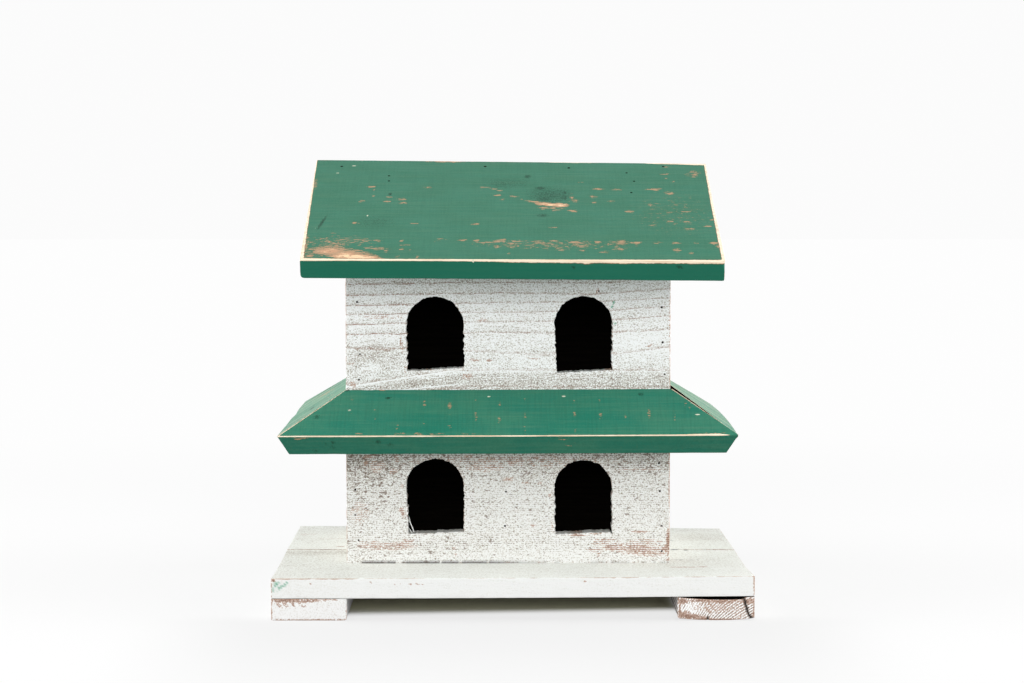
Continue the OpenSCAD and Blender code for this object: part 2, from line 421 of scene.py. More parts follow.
def blob(x, y, cx, cy, a, b):
    """A soft round patch: 1 at its middle, and 0.37 at a or b from it."""
    return np.exp(-((x - cx) / a) ** 2 - ((y - cy) / b) ** 2)


# ---- Materials ----

def linear(v):
    """An sRGB value from 0 to 255 as the linear one that a shader takes."""
    v /= 255
    return v / 12.92 if v <= 0.04045 else ((v + 0.055) / 1.055) ** 2.4


class Value:
    """The value of a node, to reckon with."""

    def __init__(self, tree, socket):
        self.tree, self.socket = tree, socket

    def __add__(self, other): return self.tree.math("ADD", self, other)
    def __radd__(self, other): return self.tree.math("ADD", other, self)
    def __sub__(self, other): return self.tree.math("SUBTRACT", self, other)
    def __rsub__(self, other): return self.tree.math("SUBTRACT", other, self)
    def __mul__(self, other): return self.tree.math("MULTIPLY", self, other)

    def step(self, low, high, to_low=0.0, to_high=1.0):
        """A smooth step from to_low to to_high as it goes from low to high."""
        return self.tree.value("MapRange", {
            "Value": self, "From Min": low, "From Max": high, "To Min": to_low,
            "To Max": to_high}, interpolation_type="SMOOTHSTEP")


class Tree:
    """Short ways to write a node tree."""

    def __init__(self, owner, output):
        owner.use_nodes = True
        self.tree = owner.node_tree
        self.tree.nodes.clear()
        self.output = self.node("Output" + output)

    def put(self, socket, value):
        """Links or sets an input; three numbers for a colour are its sRGB."""
        if isinstance(value, Value):
            self.tree.links.new(value.socket, socket)
        elif isinstance(value, bpy.types.Node):
            self.tree.links.new(value.outputs[0], socket)
        elif socket.type == "RGBA" and len(value) == 3:
            socket.default_value = (*map(linear, value), 1)
        else:
            socket.default_value = value

    def node(self, kind, inputs=None, **settings):
        node = self.tree.nodes.new("ShaderNode" + kind)
        for name, value in settings.items():
            setattr(node, name, value)
        for name, value in (inputs or {}).items():
            self.put(node.inputs[name], value)
        return node

    def value(self, kind, inputs=None, part=0, **settings):
        return Value(self, self.node(kind, inputs, **settings).outputs[part])

    def math(self, operation, *values):
        return self.value("Math", dict(enumerate(values)), operation=operation)

    def split(self, vector):
        node = self.node("SeparateXYZ", {0: vector})
        return [Value(self, socket) for socket in node.outputs]

    def mix(self, factor, a, b):
        return self.value("Mix", {"Factor": factor, 6: a, 7: b}, 2, data_type="RGBA")

    def mix_shaders(self, factor, a, b):
        return self.node("MixShader", {0: factor, 1: a, 2: b})

    def seen(self):
        """1 for camera, glossy and transmission rays, which show the background."""
        path = self.node("LightPath")
        total = Value(self, path.outputs["Is Camera Ray"])
        for name in ("Is Glossy Ray", "Is Transmission Ray"):
            total = self.math("MAXIMUM", total, Value(self, path.outputs[name]))
        return total


class Surface(Tree):
    """A material: a colour that coats go over, on a board with its grain."""

    def __init__(self, name):
        self.material = bpy.data.materials.new(name)
        super().__init__(self.material, "Material")
        self.shader = self.node("BsdfPrincipled")
        self.put(self.output.inputs["Surface"], self.shader)
        self.grain = self.attr("grain", "Vector")

    def attr(self, name, part="Fac"):
        return self.value("Attribute", None, part, attribute_name=name)

    def noise(self, scale, detail, rough=0.5, distortion=0.0):
        """Noise with its scale along, across and through the board."""
        vector = self.value("Mapping", {"Vector": self.grain, "Scale": scale})
        return self.value("TexNoise", {"Vector": vector, "Scale": 1.0, "Detail": detail,
                                       "Roughness": rough, "Distortion": distortion}, "Fac")

    def coat(self, factor, colour):
        self.colour = self.mix(factor, self.colour, colour)

    def finish(self, bump, distance, roughness, specular):
        normal = self.value("Bump", {"Height": bump, "Distance": distance})
        for name, value in (("Normal", normal), ("Base Color", self.colour),
                            ("Roughness", roughness), ("Specular IOR Level", specular)):
            self.put(self.shader.inputs[name], value)
        return self.material


def green_paint(name, base, dull, warm, scraped, cover=0.75, streaks=0.3, bands=0.0,
                deep=(10, 70, 52)):
    n = Surface(name)
    worn, scuff, dark = n.attr("worn"), n.attr("scuff"), n.attr("dark")
    streak = n.noise((0.012, 0.35, 0.35), 4, 0.6)
    cloud = n.noise((0.02, 0.03, 0.03), 3, 0.55)
    fine = n.noise((0.10, 1.2, 1.2), 4, 0.65)
    kerf = n.noise((0.5, 0.02, 0.5), 2, 0.6)
    grit = n.noise((0.7, 0.5, 0.5), 1, 0.5, 0.5)
    n.colour = n.mix(cloud.step(0.35, 0.65), base, dull)
    n.coat(streak.step(0.42, 0.72, 0, 0.4), warm)
    n.coat(fine.step(0.52, 0.74, 0, streaks), (34, 95, 80))
    n.coat(kerf.step(0.42, 0.66, 0, 0.28 + scraped), (30, 87, 71))
    n.coat(grit.step(0.52, 0.74, 0, 0.25), (84, 138, 108))
    if bands:
        # saw marks across the board
        band = n.noise((0.075, 0.004, 0.075), 3, 0.65)
        n.coat(band.step(0.50, 0.66, 0, bands), (188, 200, 178))
        n.coat(band.step(0.48, 0.34, 0, bands), (70, 126, 100))
    # painted shade on the edge of a board, where its overhang shades it
    n.coat(n.attr("deep"), deep)
    # dark smears, broken up by the grain
    smear = dark + (grit - 0.5) * 1.5
    n.coat(smear.step(0.15, 0.9) * 0.75, (14, 58, 42))
    n.coat(smear.step(0.95, 1.3) * 0.75, (20, 40, 28))
    # places rubbed down to the wood: short dashes along the grain, brown at
    # their rims and pale within
    dash = n.noise((0.16, 0.60, 0.60), 2, 0.55)
    bared = scuff + ((dash - 0.5) * 3.2 + (grit - 0.5) * 0.9)
    wood = n.mix(bared.step(0.60, 1.05), (112, 100, 68), (196, 152, 120))
    wood = n.mix(bared.step(1.5, 2.3), wood, (244, 212, 172))
    held = scuff.step(0.12, 0.3)
    firm = cover + scuff.step(1.15, 1.5) * (1 - cover)
    n.coat(bared.step(0.45, 0.95) * firm * held, wood)
    # edges sanded to pale wood, with a thin brown fringe
    wobble = n.noise((0.05, 0.05, 0.05), 3, 0.6) + n.noise((0.4, 0.4, 0.4), 2) * 0.7
    rim = worn - (wobble + 0.65)
    n.coat(rim.step(0.7, 0.25), (128, 96, 66))
    bare = n.noise((0.03, 0.9, 0.9), 4, 0.6)
    wood = n.mix(bare.step(0.42, 0.7), (253, 238, 214), (234, 206, 172))
    n.coat(rim.step(0.35, 0.0), wood)
    # runs of paint and flecks that stand out white
    n.coat(n.attr("fleck").step(0.35, 0.7), (222, 222, 200))
    return n.finish(fine * 0.6 + streak * 0.5, 0.0003, cloud.step(0.3, 0.7, 0.46, 0.56), 0.16)


def white_paint(name, top, under, specks, rows=0.0, rings=0.0, edge=0.75, worm=1.0,
                speck_colours=((196, 187, 176), (140, 124, 108), (96, 80, 66)), saw=0.0,
                lines=0.0, speck_size=1.0, spots=0.0):
    n = Surface(name)
    worn, scuff, dense = n.attr("worn"), n.attr("scuff"), n.attr("dense")
    fine = n.noise([s * speck_size for s in (0.58, 0.74, 0.74)], 1.5, 0.55, 0.7)
    fibre = n.noise((0.07, 0.5, 0.5), 3, 0.65)
    cloud = n.noise((0.02, 0.05, 0.05), 3)
    amount = dense + specks + (cloud - 0.5) * 0.8
    drift = (n.noise((0.05, 0.2, 0.2), 2) - 0.5) * 0.3
    if rings:
        phase = n.math("FRACT", n.attr("ring") + drift)
        near = n.math("POWER", 1.0 - phase, 3.0)
        amount += (near - 0.3) * (n.attr("tint") * rings)
    if lines:
        wave = n.math("SINE", (n.attr("ring") + drift * 1.5) * (2 * math.pi))
        amount += wave * (lines * 1.6)
    if rows:
        across = n.split(n.grain)[1]
        comb = n.math("SINE", (across + drift * 3.0) * (2 * math.pi / 1.95))
        amount += comb * rows
    if saw:
        amount += (n.noise((0.34, 0.03, 0.03), 2, 0.6) - 0.5) * saw
    level = (fine - 0.5) * worm + (fibre - 0.5) * 0.4 + 0.5 + amount * 0.13
    n.colour = n.mix(level.step(0.38, 0.56), top, under)
    for low, high, most, colour in zip((0.52, 0.63, 0.76), (0.64, 0.76, 0.90), (0.9, 0.9, 0.85),
                                       speck_colours):
        n.coat(level.step(low, high, 0, most), colour)
    if spots:
        # larger brown spots, most where the specks are thick
        spot = n.noise((0.20, 0.36, 0.36), 1.0, 0.5, 0.8) + dense * spots
        n.coat(spot.step(0.66, 0.74, 0, 0.8), (116, 98, 84))
    if rings:
        # the hard edge of each year's growth, a broken line of brown specks
        gap = n.noise((0.13, 0.5, 0.5), 2, 0.6) + (fine - 0.5)
        line = phase.step(0.17, 0.04) * n.attr("tint") * gap.step(0.34, 0.54)
        n.coat(line * 0.95, (160, 128, 112))
        for name, width in (("seam", 0.75), ("seam_low", 0.55)):
            away = n.math("ABSOLUTE", n.attr(name))
            n.coat(away.step(width + 0.25, width - 0.2, 0, 0.9), top)
    # brown wood where the paint has gone, in short streaks
    gone = (n.noise((0.24, 0.6, 0.6), 2, 0.6) - 0.5) * 2.4 + (fine - 0.5) * 1.6
    if rows:
        gone += comb * 0.28
    gone = (gone + scuff) * scuff.step(0.1, 0.3)
    n.coat(gone.step(0.35, 0.75) * 0.85, (180, 147, 128))
    n.coat(gone.step(0.85, 1.25) * 0.85, (132, 102, 86))
    rim = worn - (n.noise((0.10, 0.10, 0.10), 4, 0.6) * 2.4 - 0.8)
    n.coat(rim.step(0.5, 0.0) * edge, (178, 142, 118))
    # grime in joints and stains, and painted shade where the front wall stands on the base
    n.coat(n.attr("grime"), (24, 22, 18))
    n.coat(n.attr("green"), (104, 170, 142))
    return n.finish(fine * 0.7 + fibre * 0.7, 0.0003, fine.step(0.3, 0.7, 0.5, 0.65), 0.3)


def bare_wood(name, light, dark):
    n = Surface(name)
    streak = n.noise((0.012, 0.4, 0.4), 5, 0.6)
    n.colour = n.mix(streak.step(0.35, 0.65), dark, light)
    return n.finish(streak, 0.0004, 0.95, 0.05)


# the roof's green is paler than the paint itself: partly painted sheen of the slope
roof_green_and_sheen = green_paint("roof_green_paint_and_sheen", (50, 116, 93), (55, 114, 91), (79, 124, 98), -0.16,
                         deep=(0, 98, 77))
skirt_green = green_paint("skirt_green_paint", (33, 119, 98), (52, 124, 100), (82, 132, 108),
                          -0.1, cover=0.7)
# the side boards of the skirt are paler than its front: painted sheen, as they are seen at a
# glancing angle
wing_green_and_sheen = green_paint("skirt_side_green_paint_and_sheen", (76, 137, 114), (106, 151, 126),
                         (138, 160, 134), -0.1, streaks=0.6, bands=0.6)
upper_white = white_paint("upper_wall_paint", (250, 251, 251), (240, 241, 239), 0.1,
                          rings=1.3, worm=1.3, speck_size=1.3,
                          speck_colours=((204, 200, 192), (166, 156, 146), (116, 102, 90)))
lower_white = white_paint("lower_wall_paint", (235, 236, 234), (226, 226, 222), -0.05,
                          rows=0.4, worm=1.3, saw=0.6, speck_size=1.2, spots=0.13,
                          speck_colours=((194, 188, 179), (130, 117, 104), (76, 65, 55)))
plain_white = white_paint("plain_wall_paint", (243, 244, 242), (234, 233, 228), 0.2)
base_white = white_paint("base_top_paint", (243, 244, 240), (233, 234, 228), 0.0,
                         edge=0.5, worm=0.95, saw=0.5,
                         speck_colours=((216, 214, 206), (184, 176, 166), (138, 126, 112)))
# a darker copy of the base's white for its upright faces: painted shade, so that they show no
# brighter than the top under the lamps
edge_white_shaded = white_paint("base_edge_paint", (237, 238, 236), (230, 231, 227), -1.0, worm=0.75,
                         speck_colours=((226, 223, 218), (196, 186, 178), (150, 134, 122)))
foot_white = white_paint("runner_paint", (241, 241, 240), (232, 231, 228), -0.5, speck_size=1.2,
                         speck_colours=((218, 213, 208), (188, 176, 166), (120, 102, 88)))
grained_white = white_paint("grained_runner_paint", (250, 250, 249), (234, 230, 226), 0.4,
                            worm=1.1, lines=1.15,
                            speck_colours=((200, 186, 174), (148, 122, 106), (88, 68, 56)))
# bare wood, near black: partly its own dark, partly painted shade inside the house, in the gaps of
# the skirt's mitres and on the runners' tops under the base
dark_wood_and_shade = bare_wood("dark_inner_wood_and_shade", (24, 20, 15), (14, 12, 9))
nail_rust = bare_wood("nail_rust", (34, 30, 26), (14, 13, 12))


# Which faces of a board take its second material.

def inward_faces(out):
    """The face of a wall that looks indoors."""
    return lambda normals: np.where(normals @ out < -0.9, 1, 0)


def upright_faces(normals):
    return np.where(normals[:, 2] < 0.7, 1, 0)


def top_faces(normals):
    return np.where(normals[:, 2] > 0.7, 1, 0)


def mitre_faces(normals):
    """The sawn ends of a skirt board, which take the near-black wood as painted shade in the gaps
    of the mitres.
    """
    flat = np.abs(normals[:, :2]).min(axis=1)
    return np.where((flat > 0.35) & (np.abs(normals[:, 2]) < 0.45), 1, 0)


# ---- Entrances ----

HOLE_W, HOLE_H, SILL_H, HOLE_SPACING, HOLE_MID = 53.5, 68.5, 29.0, 139.5, -2.5
SPRING = HOLE_H - HOLE_W / 2
# how each strays from the drawn one: its sill, the sill's tilt, the top of the
# arch, and the left jamb at the sill and at the spring of the arch
HOLE_SHAPES = {
    ("upper", -1): (0.5, 1.4, 0.5, (0.2, -0.9)), ("upper", 1): (-1.5, 1.4, 1.0, (1.1, -1.1)),
    ("lower", -1): (-1.6, 1.0, 0.2, (0.9, -1.1)), ("lower", 1): (-2.0, 1.2, -1.0, (0.1, -1.0))}


def arch_cutter(centre_x, sill_z, seed, lift, tilt, top, lean, notch):
    """A solid with the outline of an arched entrance: sawn by hand, so its
    sides are ragged and lean, its sill tilts, and one corner is cut too far."""
    half = HOLE_W / 2
    side = np.linspace(0, 1, 56)[:-1]
    outline = [(x, tilt * x / half) for x in np.linspace(-half, half, 60)[:-1]]
    outline += [(half, tilt + (SPRING - tilt) * t) for t in side]
    outline += [(half * math.cos(a), SPRING + half * math.sin(a))
                for a in np.linspace(0, math.pi, 96)[:-1]]
    outline += [(-half, SPRING - (SPRING + tilt) * t) for t in side]
    outline = np.array(outline)
    rise = np.clip(outline[:, 1] / SPRING, 0, 1)
    leftness = np.clip(-outline[:, 0] / half, 0, 1)
    outline[:, 0] += leftness * np.interp(rise, (0, 1), lean)
    outline[:, 1] += lift * (1 - rise) + top * rise
    offset = np.full(len(outline), seed * 9.0)
    wave = rough(np.column_stack([outline / 5.0, offset]), seed) * 0.6
    teeth = noise(np.column_stack([outline / 1.6, offset]), seed + 5)
    low = 1 - smooth(outline[:, 1], SPRING * 0.6, SPRING * 1.4)
    shift = wave + teeth * (0.5 + 0.6 * low)
    on_sill = (outline[:, 1] < lift + abs(tilt) + 0.1) & (np.abs(outline[:, 0]) < half - 0.5)
    shift[on_sill] *= 0.5
    away = outline - (0, SPRING * 0.6)
    away /= np.linalg.norm(away, axis=1, keepdims=True)
    outline = outline + away * shift[:, None]
    if notch:
        bite = np.exp(-np.sum((outline - (half, lift + tilt)) ** 2, axis=1) / 1.6)
        outline = outline + bite[:, None] * (0.5, -2.6)
    count = len(outline)
    points = [(centre_x + x, y, sill_z + z)
              for y in (wall_front - 5, wall_front + 30) for x, z in outline]
    faces = [list(range(count)), list(range(2 * count - 1, count - 1, -1))]
    for i in range(count):
        j = (i + 1) % count
        faces.append([i, i + count, j + count, j])
    return add_mesh("entrance", points, faces)


# ---- Walls ----

floor_z = level("front_wall_lower", 2, 0)
upper_z = level("front_wall_upper", 2, 0)
wall_front = level("front_wall_lower", 1, 0)
STOREY = 152.5
# the front base board has cupped under the walls, which reach down to it
CUP = 1.4

# heights of the growth lines that show on the upper front board, at five
# places across it
LINES_X = np.array((-150, -46, -12, 78, 150))
LINES_Z = np.array([
    (176, 190, 204.5, 240.5, 253, 262.5, 271.5, 280, 290, 300, 309, 318, 327, 400),
    (188, 204, 219.5, 238, 254.5, 264.5, 273.5, 282, 291.5, 301.5, 311, 320, 329, 400),
    (188, 204, 219.5, 235.5, 255, 265, 274, 283, 292, 302, 311, 320, 329, 400),
    (188, 203, 219.5, 232, 254.5, 266, 274.5, 284, 290.5, 301, 310, 319, 328, 400),
    (188, 203, 219, 241.5, 258, 270.5, 279.5, 287.5, 296, 306, 315, 325, 334, 400)])


def growth(at):
    """Growth lines counted from the bottom, with the fraction between two."""
    x = np.clip(at.x, LINES_X[0], LINES_X[-1])
    z = at.z + 7 * blob(at.x, at.z, -130, 225, 20, 9)
    k = np.clip(np.searchsorted(LINES_X, x) - 1, 0, 3)
    t = ((x - LINES_X[k]) / (LINES_X[k + 1] - LINES_X[k]))[:, None]
    lines = LINES_Z[k] * (1 - t) + LINES_Z[k + 1] * t
    return sum(np.clip((z - lines[:, i]) / (lines[:, i + 1] - lines[:, i]), 0, 1)
               for i in range(lines.shape[1] - 1))


def upper_dense(at):
    """How thick the specks are on the upper front wall."""
    low = 1 - smooth(growth(at), 1.75, 1.95)
    # the specks thicken at the top, under the eave: marks on the wall, and in part painted shade
    # there
    dense = 0.9 * low + 0.35 * smooth(at.z, 286, 306)
    dense += 0.35 * smooth(-at.x, 40, 120) * (1 - smooth(at.z, 236, 250))
    pale = blob(at.x, at.z, -132, 223, 9, 5) + 0.6 * blob(at.x, at.z, 120, 246, 30, 12)
    return dense + 0.7 * blob(at.x, at.z, -128, 232, 22, 14) - pale


def upper_tint(at):
    """How strongly the growth lines show."""
    left = 1 - smooth(at.x, -105, -60)
    band = smooth(at.z, 236, 246) * (1 - smooth(at.z, 300, 312))
    return band * (0.62 + 0.38 * left) + 0.35 * (1 - band)


def upper_seam(at):
    """Height above the thick line of paint that crosses the lowest growth."""
    away = at.z - np.interp(at.x, (-152, -98, -46), (204.6, 212.8, 220.6))
    return away * (1 + 0.25 * np.maximum(at.x + 50, 0))


def upper_seam_low(at):
    """The same for a shorter line below it."""
    gap = np.maximum(-100 - at.x, 0) + np.maximum(at.x + 56, 0)
    return (at.z - np.interp(at.x, (-100, -56), (201.6, 206.2))) * (1 + 0.25 * gap)


# bared wood and stains on the front walls: x, z
UPPER_BROWN = [
    (-28, 267, 5, 1.2, 0.8), (-60, 252, 4, 1, 0.6), (52, 228, 9, 1, 0.8, -14),
    (20, 231, 8, 1, 0.7, -8), (-84, 270, 3, 5, 0.7, 60), (-104, 244, 1.2, 8, 0.9, 8),
    (-62, 246, 1, 3, 0.6), (80, 294, 2, 3, 0.8, 20), (-120, 270, 22, 2, 0.5),
    (-150, 206, 3, 3, 0.8), (92, 235, 8, 0.9, 0.7, 14), (130, 243, 8, 0.9, 0.7, 10),
    (147.3, 262, 0.9, 40, 0.7), (-36, 229.5, 6, 1.2, 0.8), (-22, 229, 3, 1.4, 0.9),
    (-42, 214, 5, 4, 0.6), (-101, 219, 1.4, 9, 0.5), (-108, 197, 16, 1.0, 0.7, 8),
    (-152, 226, 5, 1, 0.7, -6)]
UPPER_GREEN = [(94.2, 281.5, 5.2, 0.42, 1.6, 70), (96.5, 264, 1.4, 0.45, 1.2, 20)]
LOWER_BROWN = [
    (-138, 132, 2.2, 2, 1), (-135, 138, 6, 1.6, 0.8), (-127, 129, 8, 6, 0.55),
    (-109, 137, 2, 4, 0.8), (-112, 124, 4, 3, 0.55), (-104.5, 88, 2.6, 2, 1.1),
    (-103, 84, 1.5, 3.6, 1.1, 10), (-104, 110, 1.2, 2.2, 0.8), (-118, 53, 26, 3.2, 0.72),
    (-106, 54.5, 12, 2.6, 0.8), (-134, 56, 12, 2.5, 0.5), (-98, 58, 7, 2.5, 0.55),
    (-55, 52, 1.6, 1.5, 1.0), (-54, 45, 1.5, 1.3, 0.9), (-4, 117, 5, 1.4, 1), (12, 113, 3, 1, 0.9),
    (26, 113, 2, 1.3, 0.9), (35, 101, 1.5, 1.8, 0.9), (19, 73, 3, 1.4, 0.75),
    (20.5, 67, 2.2, 1.2, 0.8), (38, 71.5, 0.9, 5, 1), (62, 64, 9, 1.3, 1.0), (78, 64.5, 7, 1, 0.8),
    (95, 52, 8, 3.4, 0.9), (114, 51.5, 26, 3.6, 0.8), (122, 48.5, 20, 4.0, 0.8),
    (130, 46.5, 14, 3.0, 0.75), (126, 57.5, 18, 2.4, 0.55), (120, 67, 9, 1.0, 1.0),
    (147, 58, 1.9, 12, 1.3), (143.5, 50, 4, 4, 0.8), (88, 57, 14, 4, 0.5), (80, 50, 10, 3, 0.5),
    (146.5, 40, 2.4, 2.4, 1), (81.5, 45, 1.2, 2.1, 1.0), (-42, 138, 4, 1.3, 0.9),
    (-22, 134, 13, 3, 0.6), (-26, 128, 18, 4.5, 0.5), (33, 129, 6, 1.5, 0.7),
    (2, 134, 12, 4.5, 0.55), (-144, 85, 12, 12, 0.38), (120, 125.5, 30, 0.7, 0.6),
    (0, 134, 150, 7, 0.32), (148, 107, 0.8, 14, 1.0), (148, 138, 0.7, 12, 0.8)]
# nail heads: x, z
NAILS_UPPER = [(-145.5, 284), (-143, 235), (-144, 211), (140, 279), (141, 246), (143, 216),
               (81, 294)]
NAILS_LOWER = [(-148, 107), (-148, 83), (-145, 59), (138, 132), (139, 105.5), (141, 72.5),
               (141, 48.5), (-6, 105), (-7, 72.5)]
# splinters left standing in the corner of the lower left entrance: x, z
SPLINTERS = {"long": ((-97.2, 81), (-96.6, 76), (-94.6, 71.5), (-92.8, 66.6)),
             "short": ((-97.6, 70.5), (-96.2, 68), (-94.6, 65.6))}


def lower_dense(at):
    """The same for the lower front wall."""
    # the specks thicken at the top, under the skirt: marks on the wall, and in part painted shade
    # there
    dense = 0.75 * smooth(at.z, 98, 142) + 0.4 * smooth(-at.x, 60, 150) * smooth(at.z, 60, 90)
    dense += 0.25 * smooth(at.z, 44, 50) * (1 - smooth(at.z, 55, 64))
    return dense - 0.5 * blob(at.x, at.z, 25, 48, 60, 10)


def wall_foot_shade(at):
    """A broken line of painted shade where the front wall stands on the base."""
    x, zero = at.x, at.x * 0
    dash = noise(np.column_stack([x / 7.0, zero, zero]), 91)
    dash += 0.6 * noise(np.column_stack([x / 2.6, zero, zero]), 92)
    dash += 0.2 * smooth(-x, -60, 20) - 0.5 * smooth(x, 95, 125) - 0.8 * smooth(-x, 138, 146)
    above = at.z - (floor_z - CUP)
    left = 1 - smooth(x, -30, 20)
    return (1 - smooth(above, 0.45, 0.95)) * smooth(dash, -0.3, -0.15) * (0.3 + 0.7 * left)


def on_front(rows):
    """Marks on a front wall."""
    return lambda at: blots(rows, at.x, at.z)


def reach_down(board):
    """Takes the foot of a lower wall down to the cupped board below it."""
    if board.node.endswith("_lower"):
        board.points[:, 2] -= 1.5 * CUP * (1 - smooth(board.points[:, 2], floor_z, floor_z + 3))


def walls():
    for storey, foot, paint, seed, nails, marks in (
            ("lower", floor_z, lower_white, 3, NAILS_LOWER,
             {"scuff": on_front(LOWER_BROWN), "dense": lower_dense, "grime": wall_foot_shade}),
            ("upper", upper_z, upper_white, 5, NAILS_UPPER,
             {"scuff": on_front(UPPER_BROWN), "green": on_front(UPPER_GREEN),
              "dense": upper_dense, "ring": growth, "tint": upper_tint,
              "seam": upper_seam, "seam_low": upper_seam_low})):
        node = "front_wall_" + storey
        board = Board(node, (X, Z, -Y), seed, step=1.6)
        reach_down(board)
        for side in (-1, 1):
            board.cutters.append(arch_cutter(
                HOLE_MID + side * HOLE_SPACING / 2, foot + SILL_H, seed * 10 + side,
                *HOLE_SHAPES[storey, side], notch=(storey == "lower" and side == 1)))

        def near_hole(mid, at):
            """Less wear round the entrances than along the other edges."""
            inside = abs(mid[0] - HOLE_MID) < 110 and foot + 20 < mid[2] < foot + 105
            return 2.6 if inside and abs(mid[2] - foot - STOREY) > 5 else 1.0
        # its inner face takes the near-black wood, as painted shade indoors
        board.build([paint, dark_wood_and_shade], inward_faces(-Y), near_hole, marks)
        studs(node, [(x, wall_front + 0.02, z) for x, z in nails], -Y, 1.05, nail_rust)
    for name, out, seed in (("back_wall", Y, 13), ("side_wall_left", -X, 23),
                            ("side_wall_right", X, 33)):
        for storey in ("lower", "upper"):
            grain = Y if out[0] else -X
            board = Board(f"{name}_{storey}", (grain, Z, out), seed)
            if out[0]:
                reach_down(board)
            # their inner faces take the near-black wood, as painted shade indoors
            board.build([plain_white, dark_wood_and_shade], inward_faces(out))
            seed += 2
    for name, path in SPLINTERS.items():
        sliver("splinter_" + name, "front_wall_lower",
               [(x, wall_front + 1.6, z) for x, z in path], 0.42, plain_white)


def inside():
    for node, axes, seed in (("upper_floor", (X, Y, Z), 41), ("divider_lower", (Y, Z, X), 43),
                             ("divider_upper", (Y, Z, X), 45)):
        board = Board(node, axes, seed, step=6, radius=0.8, wear=(0.1, 0.1, 0.3))
        # the boards inside are near-black wood, as painted shade
        board.build([dark_wood_and_shade])


# ---- Base and runners ----

# marks on the top of the base: x, y
BASE_BROWN = [
    (-190, -28.6, 29, 1.3, 1.4), (-168.5, -9.5, 4.6, 2.2, 1.3), (-160, -13, 3, 1.6, 0.9),
    (186, -30, 32, 1.3, 1.5), (205, -31, 12, 2, 1.1), (150, -127, 3, 3, 0.8),
    (161, -128, 14, 4, 0.75), (178, -125, 5, 4, 0.8), (170, -143, 8, 3, 0.4),
    (190, 120, 12, 3, 0.5), (-206, 70, 14, 8, 0.35), (-180, 40, 24, 6, 0.3)]
BASE_DARK = [
    (157, -30, 2.4, 2.6, 0.95), (161, -29, 1.4, 2, 0.8), (169, -33, 2.0, 2.6, 0.9),
    (188, -31, 1.6, 2, 0.75), (156, -85, 1.5, 1.8, 0.5), (160.5, -85, 2, 1.6, 0.6),
    (170, -86, 1.5, 1.6, 0.5), (176, -84, 1.2, 1.6, 0.4), (159, 28, 2, 2, 0.5),
    (186, -30, 30, 0.7, 0.5), (-190, -28.6, 28, 0.45, 0.35)]
# on its front edge: x, z
EDGE_BROWN = [
    (-216.8, 37, 1.8, 1.4, 1.1), (-183.6, 33.4, 0.8, 0.8, 1.2), (-129.3, 35.3, 1.4, 0.8, 1.1, 20),
    (-106.7, 33.3, 0.8, 0.8, 1.1), (-102.2, 32.6, 0.8, 0.7, 1.0), (-92, 33.6, 2.4, 0.6, 0.9, 12),
    (-87, 33.3, 2, 0.6, 0.9, -25), (-81, 33.8, 2.4, 0.6, 0.9, 12), (65.3, 35.2, 1.2, 0.8, 1.0),
    (219, 30, 0.7, 10, 1.0), (218.4, 37.6, 1.4, 1.2, 0.8, 20), (-218.6, 30, 0.6, 8, 0.9)]
EDGE_GREEN = [
    (-216, 31, 3.2, 0.6, 1.1, 62), (-213.5, 33, 3.0, 0.7, 1.1, 50),
    (-211.4, 30, 3.0, 0.7, 1.1, 55), (-208.6, 31.5, 3.2, 0.6, 1.0, 40),
    (-205.6, 33.4, 3.0, 0.7, 1.2, 46), (-217.4, 27.4, 2.2, 0.6, 0.8, 70),
    (-215, 34.6, 3, 0.6, 0.7, 20)]
# on the front ends of the runners, and the crack in the right one: x, z
FOOT_BROWN = [
    (-206, 18.6, 14, 2.0, 1.3), (-186, 18.2, 12, 1.6, 1.2, 3), (-168, 18.9, 12, 0.9, 0.9),
    (-213, 14.6, 5, 1.4, 0.9, -34), (-206, 14.6, 4.5, 1.2, 0.9, -36),
    (-199, 14.8, 4.5, 1.1, 0.9, -38), (-192, 14.4, 4, 1.0, 0.8, -38), (-188.4, 13, 1.6, 1.2, 0.9),
    (-186, 0.8, 36, 0.8, 1.2), (-218.6, 9, 0.6, 9, 1.0), (-151.6, 9, 0.6, 9, 0.8),
    (153.5, 17.4, 5, 2.6, 1.3), (170, 18.0, 14, 1.5, 1.1), (190, 17.4, 18, 1.9, 1.1),
    (213, 17.4, 7, 2.2, 1.2), (151.2, 9, 1.0, 8, 1.3), (160, 3.6, 11, 2.4, 1.3),
    (156, 5.6, 5, 2.6, 1.1), (172, 2.6, 8, 1.4, 1.0), (186, 0.4, 34, 1.0, 1.5),
    (184, 12, 24, 6, 0.52), (205, 8, 10, 7, 0.42), (218.8, 10, 0.8, 9, 1.2), (217, 4, 2, 2, 0.9),
    (164, 11, 8, 4, -0.2)]
FOOT_DARK = [(176.7, 2.2, 0.9, 1.8, 1.2), (168, -0.2, 12, 0.5, 0.5), (205, 0.2, 10, 0.5, 0.4)]
SPLIT = [(208.8, 20.5), (210.6, 17.6), (210.2, 16.0), (212.3, 11.0), (212.0, 9.6), (214.2, 5.0),
         (216.6, 1.6)]
# points before this y are on the front edges of the base and the runners, and
# points above this depth in a board are on its top
FRONT_EDGE, TOP = -196.3, -0.8


def front_lift(points):
    """The front board has warped: its right corner stands off the runner."""
    lift = np.interp(points[:, 0], (-219, -60, 80, 219), (0.0, 0.2, 0.9, 2.0))
    return lift * (1 - smooth(points[:, 1], -190, -112))


def base_scuff(at):
    front = blots(EDGE_BROWN, at.x, at.z - front_lift(at.points)) * (at.y < FRONT_EDGE)
    return np.maximum(blots(BASE_BROWN, at.x, at.y) * (at.out > TOP), front)


def base_grime(at):
    """Dark spots by the joint."""
    return blots(BASE_DARK, at.x, at.y) * (at.out > TOP)


